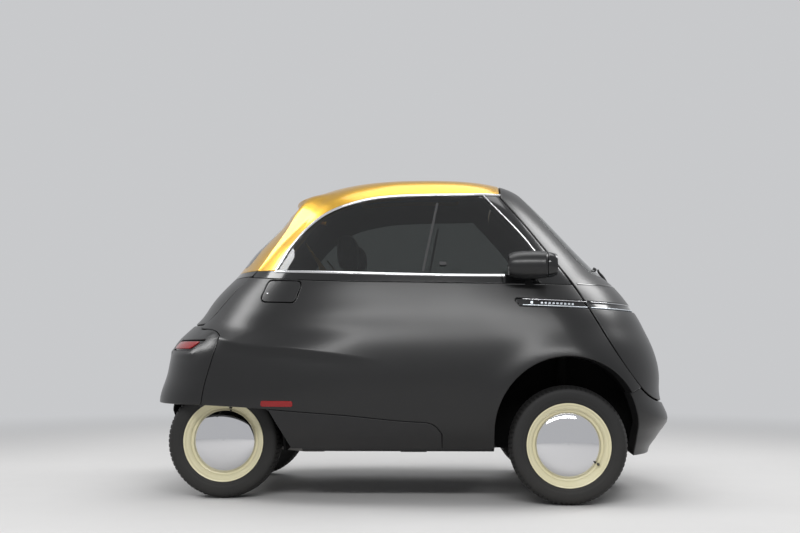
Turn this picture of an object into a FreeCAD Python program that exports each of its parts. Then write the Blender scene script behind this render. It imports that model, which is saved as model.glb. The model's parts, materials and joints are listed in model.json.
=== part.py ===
import FreeCAD, Part
import math
import os
from FreeCAD import Vector

# Two-seat microcar with one front door. Millimetres, +X to the front, +Y to the left, +Z up, ground at Z 0.

# driving dimensions
LENGTH = 2519.0
WIDTH = 1473.0
HEIGHT = 1501.0
WHEELBASE = 1566.0
FRONT_AXLE_X = 688.0
REAR_AXLE_X = FRONT_AXLE_X - WHEELBASE
TRACK_FRONT = 1250.0
TRACK_REAR = 900.0
TYRE_R = 262.0
TYRE_HALF_W = 72.5
RIM_R = 176.0
HUBCAP_R = 145.0
BODY_WALL = 45.0
ROOF_WALL = 35.0
GLASS = 6.0
DOOR_GAP = 6.0
TRIM_LIFT = 4.0
LENS_DEPTH = 12.0
NOSE_X = LENGTH / 2.0
HALF_W = WIDTH / 2.0
FAR = 2000.0
BELOW_Z = 100.0
REAR_HALF_X = -300.0

# body sections: height, nose x, tail x, half width, x of the widest place, nose power, tail power, tail taper
LOWER_SECTIONS = [
    (195.0, 1150.0, -1180.0, 610.0, 350.0, 4.6, 12.0, 0.16),
    (226.0, 1182.0, -1199.0, 638.0, 355.0, 4.6, 12.0, 0.16),
    (262.0, 1208.0, -1215.0, 660.0, 360.0, 4.6, 12.0, 0.16),
    (302.0, 1240.0, -1229.0, 682.0, 365.0, 4.6, 12.0, 0.16),
    (345.0, NOSE_X, -1240.0, 700.0, 370.0, 4.6, 12.0, 0.16),
    (446.0, 1182.0, -NOSE_X, 724.0, 385.0, 4.4, 12.0, 0.16),
    (560.0, 1190.0, -1203.0, HALF_W, 400.0, 4.0, 11.0, 0.16),
    (690.0, 1152.0, -1156.0, 730.0, 380.0, 3.6, 9.0, 0.15),
    (780.0, 1105.0, -1030.0, 714.0, 330.0, 3.3, 6.0, 0.11),
    (840.0, 1072.0, -984.0, 701.0, 290.0, 3.2, 5.5, 0.09),
    (900.0, 1030.0, -945.0, 686.0, 250.0, 3.1, 5.0, 0.08),
    (980.0, 954.0, -893.0, 664.0, 195.0, 3.0, 4.6, 0.06),
    (1060.0, 878.0, -830.0, 641.0, 150.0, 3.0, 4.3, 0.05),
]
UPPER_SECTIONS = [
    (960.0, 975.0, -905.0, 660.0, 180.0, 3.0, 4.4, 0.05),
    (1050.0, 870.0, -832.0, 634.0, 150.0, 3.0, 4.2, 0.05),
    (1150.0, 762.0, -750.0, 600.0, 120.0, 3.0, 4.0, 0.04),
    (1290.0, 606.0, -636.0, 556.0, 90.0, 3.0, 4.0, 0.02),
    (1400.0, 486.0, -540.0, 504.0, 60.0, 3.0, 4.0, 0.0),
    (1455.0, 424.0, -442.0, 436.0, 50.0, 2.9, 3.5, 0.0),
    (1485.0, 330.0, -290.0, 310.0, 50.0, 2.6, 2.8, 0.0),
    (1496.0, 240.0, -180.0, 210.0, 45.0, 2.4, 2.4, 0.0),
    (HEIGHT, 110.0, -20.0, 80.0, 45.0, 2.4, 2.4, 0.0),
]
SIDE_POWER = 2.4
NOSE_CORNER = 50.0
TAIL_CORNER = 71.0

# side view outlines, (x, z)
DOOR_SEAM = [
    (412.0, 1600.0), (412.0, 1394.0), (541.0, 1279.0), (656.0, 1143.0), (739.0, 1007.0),
    (812.0, 881.0), (912.0, 715.0), (1000.0, 570.0), (1110.0, 462.0), (1200.0, 440.0),
]
BELT_LINE = [
    (-1000.0, 1045.0), (-825.0, 1029.0), (-510.0, 1001.0), (-54.0, 988.0), (396.0, 980.0), (1300.0, 984.0),
]
GLASS_SILL = [(-700.0, 1052.0), (-281.0, 1036.0), (397.0, 1022.0), (760.0, 1026.0)]
DRIP_LINE = [
    (-700.0, 975.0), (-629.0, 1063.0), (-593.0, 1110.0), (-524.0, 1184.0), (-430.0, 1262.0), (-337.0, 1317.0),
    (-244.0, 1354.0), (-152.0, 1383.0), (-59.0, 1397.0), (172.0, 1403.0), (440.0, 1412.0),
]
WINDOW_FRONT = [(300.0, 1424.0), (337.0, 1381.0), (542.0, 1145.0), (620.0, 1010.0)]
SILL_FRONT_X = 130.0
FENDER_EDGE = [
    (-1400.0, 431.0), (-975.0, 431.0), (-668.0, 418.0), (-499.0, 406.0), (-275.0, 389.0),
    (24.0, 362.0), (95.0, 348.0), (SILL_FRONT_X, 307.0),
]
SILL_REAR = [(-645.0, 420.0), (-594.0, 332.0), (-539.0, 230.0)]
SILL_BOTTOM_Z = 240.0
TAIL_SEAM = [
    (-1022.0, 800.0), (-928.0, 763.0), (-883.0, 734.0), (-919.0, 628.0), (-952.0, 545.0), (-975.0, 431.0),
]
BUMPER_SEAM = [(1060.0, 530.0), (969.0, 492.0), (900.0, 420.0), (900.0, 150.0)]
FLAP = [
    (-657.0, 996.0), (-510.0, 990.0), (-534.0, 923.0), (-562.0, 900.0), (-669.0, 902.0), (-691.0, 926.0),
]
FLAP_HOLE = [
    (-663.0, 1002.0), (-504.0, 996.0), (-528.0, 921.0), (-560.0, 894.0), (-675.0, 896.0), (-698.0, 928.0),
]
SEAT_BACK = [(-330.0, 470.0), (-215.0, 470.0), (-300.0, 1010.0), (-395.0, 1030.0)]

# end view outlines, (y, z)
WINDSCREEN = [(-455.0, 1035.0), (-380.0, 1143.0), (-325.0, 1279.0), (-290.0, 1390.0), (-240.0, 1430.0)]
HATCH_EDGE = [(-400.0, 806.0), (-425.0, 1030.0), (-345.0, 1385.0)]
REAR_WINDOW = [(-370.0, 1065.0), (-310.0, 1335.0)]

# openings and joints
ARCH_R = 323.0
ARCH_Z = 329.0
ARCH_INNER_Y = 385.0
REAR_ARCH_R = 290.0
REAR_ARCH_Z = 275.0
REAR_ARCH_INNER_Y = 360.0
REAR_ARCH_OUTER_Y = 532.0
HOUSING_WALL = 10.0
HUB_HOLE_R = 60.0
FLOOR_Z = 225.0
FLOOR_TOP_Z = 250.0
LUGGAGE_Z = 600.0
LUGGAGE_UNDER_Z = LUGGAGE_Z - 25.0
KINGPIN_Y = 555.0
KINGPIN_R = 10.0
BARREL_R = 19.0
SPINDLE_R = 15.0
RUNNING_FIT = 0.05
DOOR_HINGE = (900.0, 645.0)
HATCH_HINGE = (-545.0, 1390.0)
POD_ARM_X = 530.0
POD_ARM_R = 18.0
POD_Y = 716.0
POD_Z = 1058.0
LIGHT_BAR = [
    (460.0, 916.0), (500.0, 900.0), (800.0, 890.0), (1300.0, 876.0), (1300.0, 908.0), (800.0, 922.0),
    (480.0, 932.0),
]
POD_PROFILE = [(428.0, 50.0), (480.0, 60.0), (560.0, 61.0), (610.0, 55.0), (636.0, 46.0)]
WHEEL_AXIS = Vector(-0.454, 0.0, 0.891)
STEERING_WHEEL_AT = Vector(345.0, 280.0, 860.0)


def point(x, y, z):
    return Vector(x, y, z)


def tangent_arc(start, tangent, end):
    """Arc that leaves start along tangent and ends at end."""
    chord = end - start
    unit = Vector(chord).normalize()
    side = tangent - unit * tangent.dot(unit)
    middle = start + chord * 0.5
    if side.Length > 1e-6:
        half_turn = math.atan2(side.Length, tangent.dot(unit)) / 2.0
        middle = middle + side.normalize() * (chord.Length / 2.0 * math.tan(half_turn))
    return Part.Arc(start, middle, end).toShape()


def biarc(start, start_tangent, end, end_tangent):
    """Two arcs that meet smoothly and run from one point and direction to another."""
    span = end - start
    both_ways = start_tangent + end_tangent
    bend = 1.0 - start_tangent.dot(end_tangent)
    along = span.dot(both_ways)
    reach = (math.sqrt(along * along + 2.0 * bend * span.dot(span)) - along) / (2.0 * bend)
    first_corner = start + start_tangent * reach
    last_corner = end - end_tangent * reach
    meeting = (first_corner + last_corner) * 0.5
    across = (last_corner - first_corner).normalize()
    return [tangent_arc(start, start_tangent, meeting), tangent_arc(meeting, across, end)]


def quarter(row, angle, to_nose):
    """Point of the plan outline on the right side, at an angle from 0 on the centre line to 90 at the side."""
    z, nose_x, tail_x, half_w, wide_x, nose_power, tail_power, taper = row
    end_x = nose_x if to_nose else tail_x
    power = nose_power if to_nose else tail_power
    reach = round(math.cos(math.radians(angle)), 9) ** (2.0 / power)
    spread = math.sin(math.radians(angle)) ** (2.0 / SIDE_POWER)
    if not to_nose:
        spread = spread * (1.0 - taper * reach * reach)
    return point(wide_x + (end_x - wide_x) * reach, -half_w * spread, z)


def quarter_arcs(row, to_nose):
    """Arcs from the centre line to the widest place."""
    angle = NOSE_CORNER if to_nose else TAIL_CORNER
    ahead = quarter(row, angle + 0.5, to_nose)
    behind = quarter(row, angle - 0.5, to_nose)
    corner = quarter(row, angle, to_nose)
    corner_tangent = (ahead - behind).normalize()
    lengthways = point(-1.0 if to_nose else 1.0, 0.0, 0.0)
    arcs = biarc(quarter(row, 0.0, to_nose), point(0.0, -1.0, 0.0), corner, corner_tangent)
    return arcs + biarc(corner, corner_tangent, quarter(row, 90.0, to_nose), lengthways)


def section_wire(row):
    """Closed plan outline of the body at one height."""
    right = quarter_arcs(row, True) + quarter_arcs(row, False)[::-1]
    left = [edge.mirror(point(0, 0, 0), point(0, 1, 0)) for edge in right[::-1]]
    return Part.Wire(right + left)


def inset_sections(rows, depth):
    """The same sections moved square to the surface by depth; a negative depth lies outside."""
    moved = []
    for i, row in enumerate(rows):
        below = rows[max(i - 1, 0)]
        above = rows[min(i + 1, len(rows) - 1)]
        rise = above[0] - below[0]
        slopes = [(below[1] - above[1]) / rise, (above[2] - below[2]) / rise, (below[3] - above[3]) / rise]
        leans = [math.atan(slope) for slope in slopes]
        drop = depth * max(sum(math.sin(lean) for lean in leans) / 3.0, 0.0)
        steps = [depth / math.cos(lean) - drop * math.tan(lean) for lean in leans]
        steps = [math.copysign(min(abs(step), abs(depth) * 3.0), depth) for step in steps]
        moved.append((row[0] - drop, row[1] - steps[0], row[2] + steps[1], row[3] - steps[2]) + row[4:])
    return moved


def loft(rows):
    return Part.makeLoft([section_wire(row) for row in rows], True, False)


def side_face(points, y=-FAR):
    corners = [point(x, y, z) for x, z in points]
    return Part.Face(Part.makePolygon(corners + [corners[0]]))


def side_prism(points, y_low=-FAR, y_high=FAR):
    """Prism along Y over a closed side view outline."""
    return side_face(points, y_low).extrude(point(0.0, y_high - y_low, 0.0))


def end_prism(points, x_low, x_high):
    """Prism along X over a closed end view outline of (y, z)."""
    corners = [point(x_low, y, z) for y, z in points]
    face = Part.Face(Part.makePolygon(corners + [corners[0]]))
    return face.extrude(point(x_high - x_low, 0.0, 0.0))


def shifted(points, dx, dz):
    return [(x + dx, z + dz) for x, z in points]


def above_line(points, top=FAR):
    return side_prism(points + [(points[-1][0], top), (points[0][0], top)])


def mirrored(shape):
    return shape.mirror(point(0, 0, 0), point(0, 1, 0))


def both(shape):
    return Part.makeCompound([shape, mirrored(shape)])


def box(x0, x1, y0, y1, z0, z1):
    return Part.makeBox(x1 - x0, y1 - y0, z1 - z0, point(x0, y0, z0))


def rod(start, end, radius):
    direction = end - start
    return Part.makeCylinder(radius, direction.Length, start, direction)


TAIL_LAMP_SPACE = box(-FAR, -1012.0, -FAR, -345.0, 683.0, 726.0)
REFLECTOR_SPACE = box(-672.0, -534.0, -FAR, 0.0, 426.0, 450.0)
SUNROOF_SPACE = box(-300.0, 230.0, -290.0, 290.0, 1400.0, FAR)
RIGHT_HALF = box(-FAR, FAR, -FAR, -20.0, 0.0, FAR)


def skin_y(x, z):
    """Half width of the lower body's outer skin at one place of the side view."""
    line = Part.LineSegment(point(x, 0.0, z), point(x, -FAR, z)).toShape()
    return -line.common(lower_outer).BoundBox.YMin


def save(shape, node):
    """Writes the node and prints what it holds."""
    shape.exportStep("parts/" + node + ".step")
    litres = round(shape.Volume / 1e6, 2)
    print(node, len(shape.Solids), "solids", len(shape.Faces), "faces", shape.isValid(), litres)


# ---- body shells ----

def open_below(rows, low):
    """The sections with the first one moved down to low, so that a cut runs right through."""
    return [(low,) + rows[0][1:]] + rows[1:]


lower_outer = loft(LOWER_SECTIONS)
lower_inner = loft(open_below(inset_sections(LOWER_SECTIONS, BODY_WALL), 150.0))
upper_outer = loft(UPPER_SECTIONS)
upper_inner = loft(inset_sections(UPPER_SECTIONS, ROOF_WALL))
upper_inner = upper_inner.fuse(loft(inset_sections(UPPER_SECTIONS[:2], ROOF_WALL)).translate(point(0, 0, -60)))
above_belt = above_line(BELT_LINE)
lower_shell = lower_outer.cut(lower_inner).cut(above_belt)
upper_full = upper_outer.cut(upper_inner)
upper_shell = upper_full.common(above_belt)


# ---- outer body ----

door_low = DOOR_SEAM[-1][1]
door_space = side_prism(DOOR_SEAM + [(FAR, door_low), (FAR, DOOR_SEAM[0][1])])
door_edge = shifted(DOOR_SEAM, -DOOR_GAP, -DOOR_GAP)
door_clear = side_prism(door_edge + [(FAR, door_low - DOOR_GAP), (FAR, DOOR_SEAM[0][1])])


def mirror_outline(points):
    """Closed end view outline from its right half."""
    return points + [(-y, z) for y, z in reversed(points)]


def grown_outline(points, gap):
    """Right half of an end view outline, moved outward by gap at the sides and at its ends."""
    grown = [(y - gap, z) for y, z in points]
    grown[0] = (grown[0][0], grown[0][1] - gap)
    grown[-1] = (grown[-1][0], grown[-1][1] + gap)
    return grown


def arch(centre_x, centre_z, radius, y_low, y_high, bottom):
    """Wheel arch space: a round top with straight sides down to bottom."""
    top = Part.makeCylinder(radius, y_high - y_low, point(centre_x, y_low, centre_z), point(0, 1, 0))
    space = top.fuse(box(centre_x - radius, centre_x + radius, y_low, y_high, bottom, centre_z))
    return space.common(box(centre_x - FAR, centre_x + FAR, y_low, y_high, bottom, FAR))


front_arch = arch(FRONT_AXLE_X, ARCH_Z, ARCH_R, ARCH_INNER_Y, FAR, BELOW_Z)
rear_arch = arch(REAR_AXLE_X, REAR_ARCH_Z, REAR_ARCH_R, REAR_ARCH_INNER_Y, REAR_ARCH_OUTER_Y, BELOW_Z)
hatch_space = end_prism(mirror_outline(HATCH_EDGE), -FAR, REAR_HALF_X)
hatch_clear = end_prism(mirror_outline(grown_outline(HATCH_EDGE, DOOR_GAP)), -FAR, REAR_HALF_X)
tail_space = side_prism(TAIL_SEAM + [(-FAR, TAIL_SEAM[-1][1]), (-FAR, TAIL_SEAM[0][1])])
bumper_space = side_prism(BUMPER_SEAM + [(FAR, BUMPER_SEAM[-1][1]), (FAR, BUMPER_SEAM[0][1])])
upper_side = side_prism(DRIP_LINE + [(800.0, DRIP_LINE[-1][1]), (800.0, 900.0), (DRIP_LINE[0][0], 900.0)])
window_behind = side_prism(WINDOW_FRONT + [(-800.0, WINDOW_FRONT[-1][1]), (-800.0, WINDOW_FRONT[0][1])])
window_space = upper_side.common(above_line(GLASS_SILL)).common(window_behind)
sill_corner = [(SILL_FRONT_X, SILL_BOTTOM_Z), (FAR, SILL_BOTTOM_Z), (FAR, FAR), (FENDER_EDGE[0][0], FAR)]
fender_space = side_prism(FENDER_EDGE + sill_corner)

lens_inner = loft(inset_sections(LOWER_SECTIONS, LENS_DEPTH))
lower_lifted = loft(inset_sections(LOWER_SECTIONS, -TRIM_LIFT))
upper_lifted = loft(inset_sections(UPPER_SECTIONS, -TRIM_LIFT))
glass_inner = loft(inset_sections(UPPER_SECTIONS, GLASS))


def skin(outer, inner, *spaces):
    """Even layer between two nested bodies, inside all the spaces."""
    layer = outer
    for space in spaces:
        layer = layer.common(space)
    return layer.cut(inner)


light_bar = skin(lower_outer, lens_inner, side_prism(LIGHT_BAR))
tail_lamp = skin(lower_outer, lens_inner, TAIL_LAMP_SPACE)
side_light = light_bar.cut(door_clear).common(RIGHT_HALF)
door_light = light_bar.common(door_space)

fixed_lower = lower_shell.cut(door_clear).cut(hatch_clear)
above_tail_edge = above_line([(-FAR, TAIL_SEAM[-1][1]), (0.0, TAIL_SEAM[-1][1])])
tail_panel = fixed_lower.common(tail_space).common(above_tail_edge)
tail_panel = tail_panel.cut(rear_arch).cut(mirrored(rear_arch)).cut(both(tail_lamp))
front_bumper = fixed_lower.common(bumper_space).cut(front_arch).cut(mirrored(front_arch))
side_lower = fixed_lower.cut(tail_space).cut(bumper_space).common(fender_space).common(RIGHT_HALF)
side_lower = side_lower.cut(mirrored(front_arch)).cut(mirrored(rear_arch)).cut(side_light)
side_upper = upper_shell.common(upper_side).cut(window_space).cut(door_clear).cut(hatch_clear)
side_upper = side_upper.common(RIGHT_HALF)
side_panel = side_lower.fuse(side_upper)
roof_shell = upper_shell.cut([door_clear, hatch_clear, upper_side])

sill_space = box(SILL_REAR[0][0], SILL_FRONT_X, -FAR, 0.0, SILL_BOTTOM_Z, 450.0).cut(fender_space)
sill_space = sill_space.cut(side_prism(SILL_REAR + [(-700.0, SILL_REAR[-1][1]), (-700.0, SILL_REAR[0][1])]))
sill = lower_shell.common(sill_space)


# ---- charge flap: a plate of the outer skin, hinged along its front edge ----

def flap_line(x, z):
    return point(x + DOOR_GAP / 2.0, -skin_y(x, z), z)


FLAP_T = 8.0
FLAP_PIN_R = 3.0
FLAP_KNUCKLE_R = 5.5
FLAP_EAR = 20.0
SOCKET_DEPTH = 30.0
INLET_AT = (-602.0, 948.0)
INLET_R = 29.0
INLET_FRONT = 20.0
INLET_BACK = 42.0
flap_low = flap_line(FLAP[2][0], FLAP[2][1])
flap_high = flap_line(FLAP[1][0], FLAP[1][1])
flap_axis = (flap_high - flap_low).normalize()
flap_column = side_prism(FLAP, -FAR, 0.0)
flap_hole = side_prism(FLAP_HOLE, -FAR, 0.0)
flap_knuckle = rod(flap_low + flap_axis * FLAP_EAR, flap_high - flap_axis * FLAP_EAR, FLAP_KNUCKLE_R)
flap_pin = rod(flap_low - flap_axis * 6.0, flap_high + flap_axis * 6.0, FLAP_PIN_R)
flap_bore = rod(flap_low - flap_axis * 10.0, flap_high + flap_axis * 10.0, FLAP_PIN_R + RUNNING_FIT)
charge_flap = lower_shell.common(flap_column).cut(lower_outer.translated(point(0, FLAP_T, 0)))
for end, away in ((flap_low, flap_axis * -1.0), (flap_high, flap_axis)):
    charge_flap = charge_flap.cut(rod(end - away * FLAP_EAR, end + away * 12.0, FLAP_KNUCKLE_R + 1.0))
charge_flap = charge_flap.fuse(flap_knuckle).cut(flap_bore)
charge_socket = lower_shell.common(flap_hole).common(lower_outer.translated(point(0, SOCKET_DEPTH, 0)))
inlet_x, inlet_z = INLET_AT
inlet_mouth = point(inlet_x, -skin_y(inlet_x, inlet_z), inlet_z)
slope_x = (skin_y(inlet_x + 10.0, inlet_z) - skin_y(inlet_x - 10.0, inlet_z)) / 20.0
slope_z = (skin_y(inlet_x, inlet_z + 10.0) - skin_y(inlet_x, inlet_z - 10.0)) / 20.0
inward = point(slope_x, 1.0, slope_z).normalize()
inlet = rod(inlet_mouth + inward * INLET_FRONT, inlet_mouth + inward * INLET_BACK, INLET_R)
charge_socket = charge_socket.fuse(inlet)
flap_relief = rod(flap_low + flap_axis * 14.0, flap_high - flap_axis * 14.0, FLAP_KNUCKLE_R + 1.0)
side_panel_right = side_panel.cut(flap_hole).cut(flap_relief).fuse(flap_pin)
side_panel_left = mirrored(side_panel)

# ---- front door ----

windscreen_space = end_prism(mirror_outline(WINDSCREEN), 380.0, FAR)
windscreen = skin(upper_outer, glass_inner, door_space, windscreen_space)
door_upper = upper_shell.common(door_space).cut(windscreen_space)
door_lower = lower_shell.common(door_space).cut(door_light)
front_door = door_lower.fuse(door_upper)

DOOR_PIN_R = 6.0
KNUCKLE_R = 12.0
KNUCKLE_LOW_Z = 680.0
KNUCKLE_H = 40.0
KNUCKLE_STEP = 72.0
STRAP_HALF = 9.0
STRAP_INNER_Y = 590.0
hinge_x, hinge_y = DOOR_HINGE


def hinge_rod(z_low, z_high, radius):
    return rod(point(hinge_x, hinge_y, z_low), point(hinge_x, hinge_y, z_high), radius)


def hinge_knuckle(z_low, z_high, strap_y):
    """Knuckle on the door's hinge axis with the strap that carries it."""
    strap = box(hinge_x - STRAP_HALF, hinge_x + STRAP_HALF, strap_y, hinge_y, z_low + 4.0, z_high - 4.0)
    return hinge_rod(z_low, z_high, KNUCKLE_R).fuse(strap)


body_knuckle = hinge_knuckle(KNUCKLE_LOW_Z, KNUCKLE_LOW_Z + KNUCKLE_H, STRAP_INNER_Y + 5.0)
door_knuckle_low = KNUCKLE_LOW_Z + KNUCKLE_STEP
pin_top = door_knuckle_low + KNUCKLE_H
door_pin = hinge_rod(KNUCKLE_LOW_Z + KNUCKLE_H / 2.0, pin_top, DOOR_PIN_R)
door_knuckle = hinge_knuckle(door_knuckle_low, pin_top, STRAP_INNER_Y)
door_bore = hinge_rod(door_knuckle_low - 12.0, pin_top + 8.0, DOOR_PIN_R + RUNNING_FIT)
front_door = front_door.fuse(door_knuckle).cut(door_bore)
side_panel_left = side_panel_left.fuse(body_knuckle).fuse(door_pin)

DASH_X = 865.0
DASH_Z = 885.0
DASH_R = 35.0
dash_bar = rod(point(DASH_X, -FAR, DASH_Z), point(DASH_X, FAR, DASH_Z), DASH_R)
dash_bar = dash_bar.fuse(box(DASH_X, DASH_X + 65.0, -FAR, FAR, DASH_Z - DASH_R, DASH_Z + DASH_R))
dash_bar = dash_bar.common(lower_inner)

# a wiper lies along the foot of the windscreen
WIPER_Z = 1050.0
WIPER_H = 14.0
WIPER_PIVOT_Y = 48.0
wiper_blade = box(500.0, FAR, -300.0, WIPER_PIVOT_Y + 12.0, WIPER_Z, WIPER_Z + WIPER_H)
wiper_stalk = box(500.0, FAR, WIPER_PIVOT_Y - 12.0, WIPER_PIVOT_Y + 12.0, WIPER_Z - 46.0, WIPER_Z)
wiper_arm = skin(upper_lifted, upper_outer, wiper_blade.fuse(wiper_stalk))

# ---- hatch ----

HATCH_PIN_R = 4.0
HATCH_KNUCKLE_R = 9.0
HATCH_RELIEF_R = 14.0
HATCH_KNUCKLE_HALF = 48.0
ROOF_KNUCKLE_INNER = 54.0
ROOF_KNUCKLE_OUTER = 150.0
hatch_x, hatch_z = HATCH_HINGE


def hatch_rod(y_low, y_high, radius):
    return rod(point(hatch_x, y_low, hatch_z), point(hatch_x, y_high, hatch_z), radius)


hatch_upper = upper_full.common(above_line(shifted(BELT_LINE, 0.0, -12.0))).common(hatch_space)
hatch_panel = hatch_upper.fuse(lower_shell.common(hatch_space))
rear_window_space = end_prism(mirror_outline(REAR_WINDOW), -FAR, REAR_HALF_X)
hatch_panel = hatch_panel.cut(rear_window_space)
rear_window = skin(upper_outer, glass_inner, rear_window_space)
half = HATCH_KNUCKLE_HALF
hatch_strap = box(hatch_x, hatch_x + 30.0, -half, half, hatch_z - 26.0, hatch_z - 5.0)
hatch_knuckle = hatch_rod(-half, half, HATCH_KNUCKLE_R).fuse(hatch_strap)
hatch_bore = hatch_rod(-half - 12.0, half + 12.0, HATCH_PIN_R + RUNNING_FIT)
hatch_panel = hatch_panel.cut(hatch_rod(-ROOF_KNUCKLE_OUTER - 10.0, ROOF_KNUCKLE_OUTER + 10.0, HATCH_RELIEF_R))
hatch_panel = hatch_panel.fuse(hatch_knuckle).cut(hatch_bore)
roof_strap = box(
    hatch_x, hatch_x + 50.0, ROOF_KNUCKLE_INNER, ROOF_KNUCKLE_OUTER, hatch_z, hatch_z + HATCH_KNUCKLE_R)
roof_knuckle = hatch_rod(ROOF_KNUCKLE_INNER, ROOF_KNUCKLE_OUTER, HATCH_KNUCKLE_R).fuse(roof_strap)
hatch_pin = hatch_rod(-ROOF_KNUCKLE_OUTER, ROOF_KNUCKLE_OUTER, HATCH_PIN_R)
roof_hinge = roof_knuckle.fuse([mirrored(roof_knuckle), hatch_pin])
roof_shell = roof_shell.cut(hatch_rod(-half - 2.0, half + 2.0, HATCH_RELIEF_R)).fuse(roof_hinge)

# ---- skins laid on the body: glass, rails, lamps ----

side_window = skin(upper_outer, glass_inner, RIGHT_HALF, window_space)
DRIP_H = 14.0
SUNROOF_UNDER_Z = 1452.0
rail_space = side_prism(DRIP_LINE[1:] + shifted(DRIP_LINE[1:], 0.0, DRIP_H)[::-1])
strip_space = side_prism(shifted(GLASS_SILL[:3], 0, -DRIP_H) + GLASS_SILL[:3][::-1])
drip_rail = skin(upper_lifted, upper_outer, RIGHT_HALF, rail_space).cut(door_clear)
belt_strip = skin(upper_lifted, upper_outer, RIGHT_HALF, strip_space).cut(hatch_clear)
sunroof = upper_outer.common(SUNROOF_SPACE).common(box(-FAR, FAR, -FAR, FAR, SUNROOF_UNDER_Z, FAR))
sunroof = sunroof.translated(point(0, 0, TRIM_LIFT))
roof_shell = roof_shell.cut(SUNROOF_SPACE)
reflector = skin(lower_lifted, lower_outer, REFLECTOR_SPACE)


# ---- floor and wheel housings ----

FLOOR_PROFILE = [
    (1030.0, FLOOR_Z), (-500.0, FLOOR_Z), (-620.0, LUGGAGE_UNDER_Z), (-1180.0, LUGGAGE_UNDER_Z),
    (-1180.0, LUGGAGE_Z), (-603.0, LUGGAGE_Z), (-482.0, FLOOR_TOP_Z), (1030.0, FLOOR_TOP_Z),
]
JACK_Y = 450.0
JACK_HALF_X = 60.0
JACK_HALF_Y = 40.0
JACK_H = 12.0
MAT_FRONT_X = -650.0
MAT_REAR_X = -990.0
MAT_HALF_Y = 480.0
MAT_H = 5.0


def housing(centre_x, centre_z, radius, inner_y):
    """Wheel housing of even wall: the space around the arch, closed at its inner side."""
    outer = arch(centre_x, centre_z, radius + HOUSING_WALL, inner_y - HOUSING_WALL, FAR, FLOOR_Z)
    return outer, outer.cut(arch(centre_x, centre_z, radius, inner_y, FAR, BELOW_Z)).common(lower_inner)


front_outer, front_housing = housing(FRONT_AXLE_X, ARCH_Z, ARCH_R, ARCH_INNER_Y)
rear_outer, rear_housing = housing(REAR_AXLE_X, REAR_ARCH_Z, REAR_ARCH_R, REAR_ARCH_INNER_Y)
floor_space = side_prism(FLOOR_PROFILE)
floor_pan = floor_space.common(lower_inner)
floor_pan = floor_pan.cut([front_outer, mirrored(front_outer), rear_outer, mirrored(rear_outer)])
jack_pad = box(-JACK_HALF_X, JACK_HALF_X, JACK_Y - JACK_HALF_Y, JACK_Y + JACK_HALF_Y, FLOOR_Z - JACK_H, FLOOR_Z)
luggage_mat = box(MAT_REAR_X, MAT_FRONT_X, -MAT_HALF_Y, MAT_HALF_Y, LUGGAGE_Z, LUGGAGE_Z + MAT_H)
floor_pan = floor_pan.fuse([jack_pad, mirrored(jack_pad), luggage_mat])
hub_hole = rod(point(REAR_AXLE_X, 300.0, TYRE_R), point(REAR_AXLE_X, 400.0, TYRE_R), HUB_HOLE_R)
rear_housing = rear_housing.cut([floor_space, hub_hole])
wheel_housings = Part.makeCompound(both(front_housing).Solids + both(rear_housing).Solids)

# ---- drive, suspension and steering ----

SPINDLE_END_Y = 662.0
ARM_HALF = 23.0
UPPER_ARM_HALF = 20.0
ARM_H = 22.0
LOWER_ARM_Z = 200.0
UPPER_ARM_Z = 335.0
STRUT_Y = 440.0
STRUT_R = 22.0
MOTOR_X = -880.0
MOTOR_HALF_X = 130.0
MOTOR_HALF_Y = 180.0
MOTOR_LOW_Z = 190.0
MOTOR_TOP_Z = 430.0
MOTOR_CHAMFER = 30.0
REAR_SPINDLE_Y = 400.0
REAR_SPINDLE_END_Y = 492.0
REAR_AXLE_R = 22.0
TRAILING_ARM_Y = 315.0
TRAILING_ARM_T = 30.0
motor_block = box(
    MOTOR_X - MOTOR_HALF_X, MOTOR_X + MOTOR_HALF_X, -MOTOR_HALF_Y, MOTOR_HALF_Y, MOTOR_LOW_Z, MOTOR_TOP_Z)
motor_block = motor_block.makeChamfer(MOTOR_CHAMFER, motor_block.Edges)


def rear_side():
    """Stub axle and trailing arm of the left rear wheel."""
    ends = (MOTOR_HALF_Y, REAR_SPINDLE_Y, REAR_SPINDLE_END_Y)
    inner, seat, end = [point(REAR_AXLE_X, y, TYRE_R) for y in ends]
    axle = rod(inner, seat, REAR_AXLE_R).fuse(rod(seat, end, SPINDLE_R))
    arm_outline = [
        (REAR_AXLE_X - 35.0, 290.0), (REAR_AXLE_X + 35.0, 290.0), (-520.0, FLOOR_Z), (-430.0, FLOOR_Z),
        (-430.0, 198.0), (-520.0, 198.0), (REAR_AXLE_X - 35.0, 235.0),
    ]
    arm_inner = TRAILING_ARM_Y - TRAILING_ARM_T / 2.0
    return axle.fuse(side_prism(arm_outline, arm_inner, arm_inner + TRAILING_ARM_T))


def front_side():
    """Two arms with the kingpin between their ends, and the strut, left side."""
    x = FRONT_AXLE_X
    end_y = KINGPIN_Y + ARM_HALF
    lower_arm = box(x - ARM_HALF, x + ARM_HALF, 380.0, end_y, LOWER_ARM_Z, LOWER_ARM_Z + ARM_H)
    upper_arm = box(
        x - UPPER_ARM_HALF, x + UPPER_ARM_HALF, ARCH_INNER_Y, end_y, UPPER_ARM_Z, UPPER_ARM_Z + ARM_H)
    kingpin = rod(point(x, KINGPIN_Y, LOWER_ARM_Z + 10.0), point(x, KINGPIN_Y, UPPER_ARM_Z + 15.0), KINGPIN_R)
    strut = rod(point(x, STRUT_Y, UPPER_ARM_Z + 15.0), point(x, STRUT_Y, ARCH_Z + ARCH_R - 1.0), STRUT_R)
    return lower_arm.fuse([upper_arm, kingpin, strut])


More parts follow.
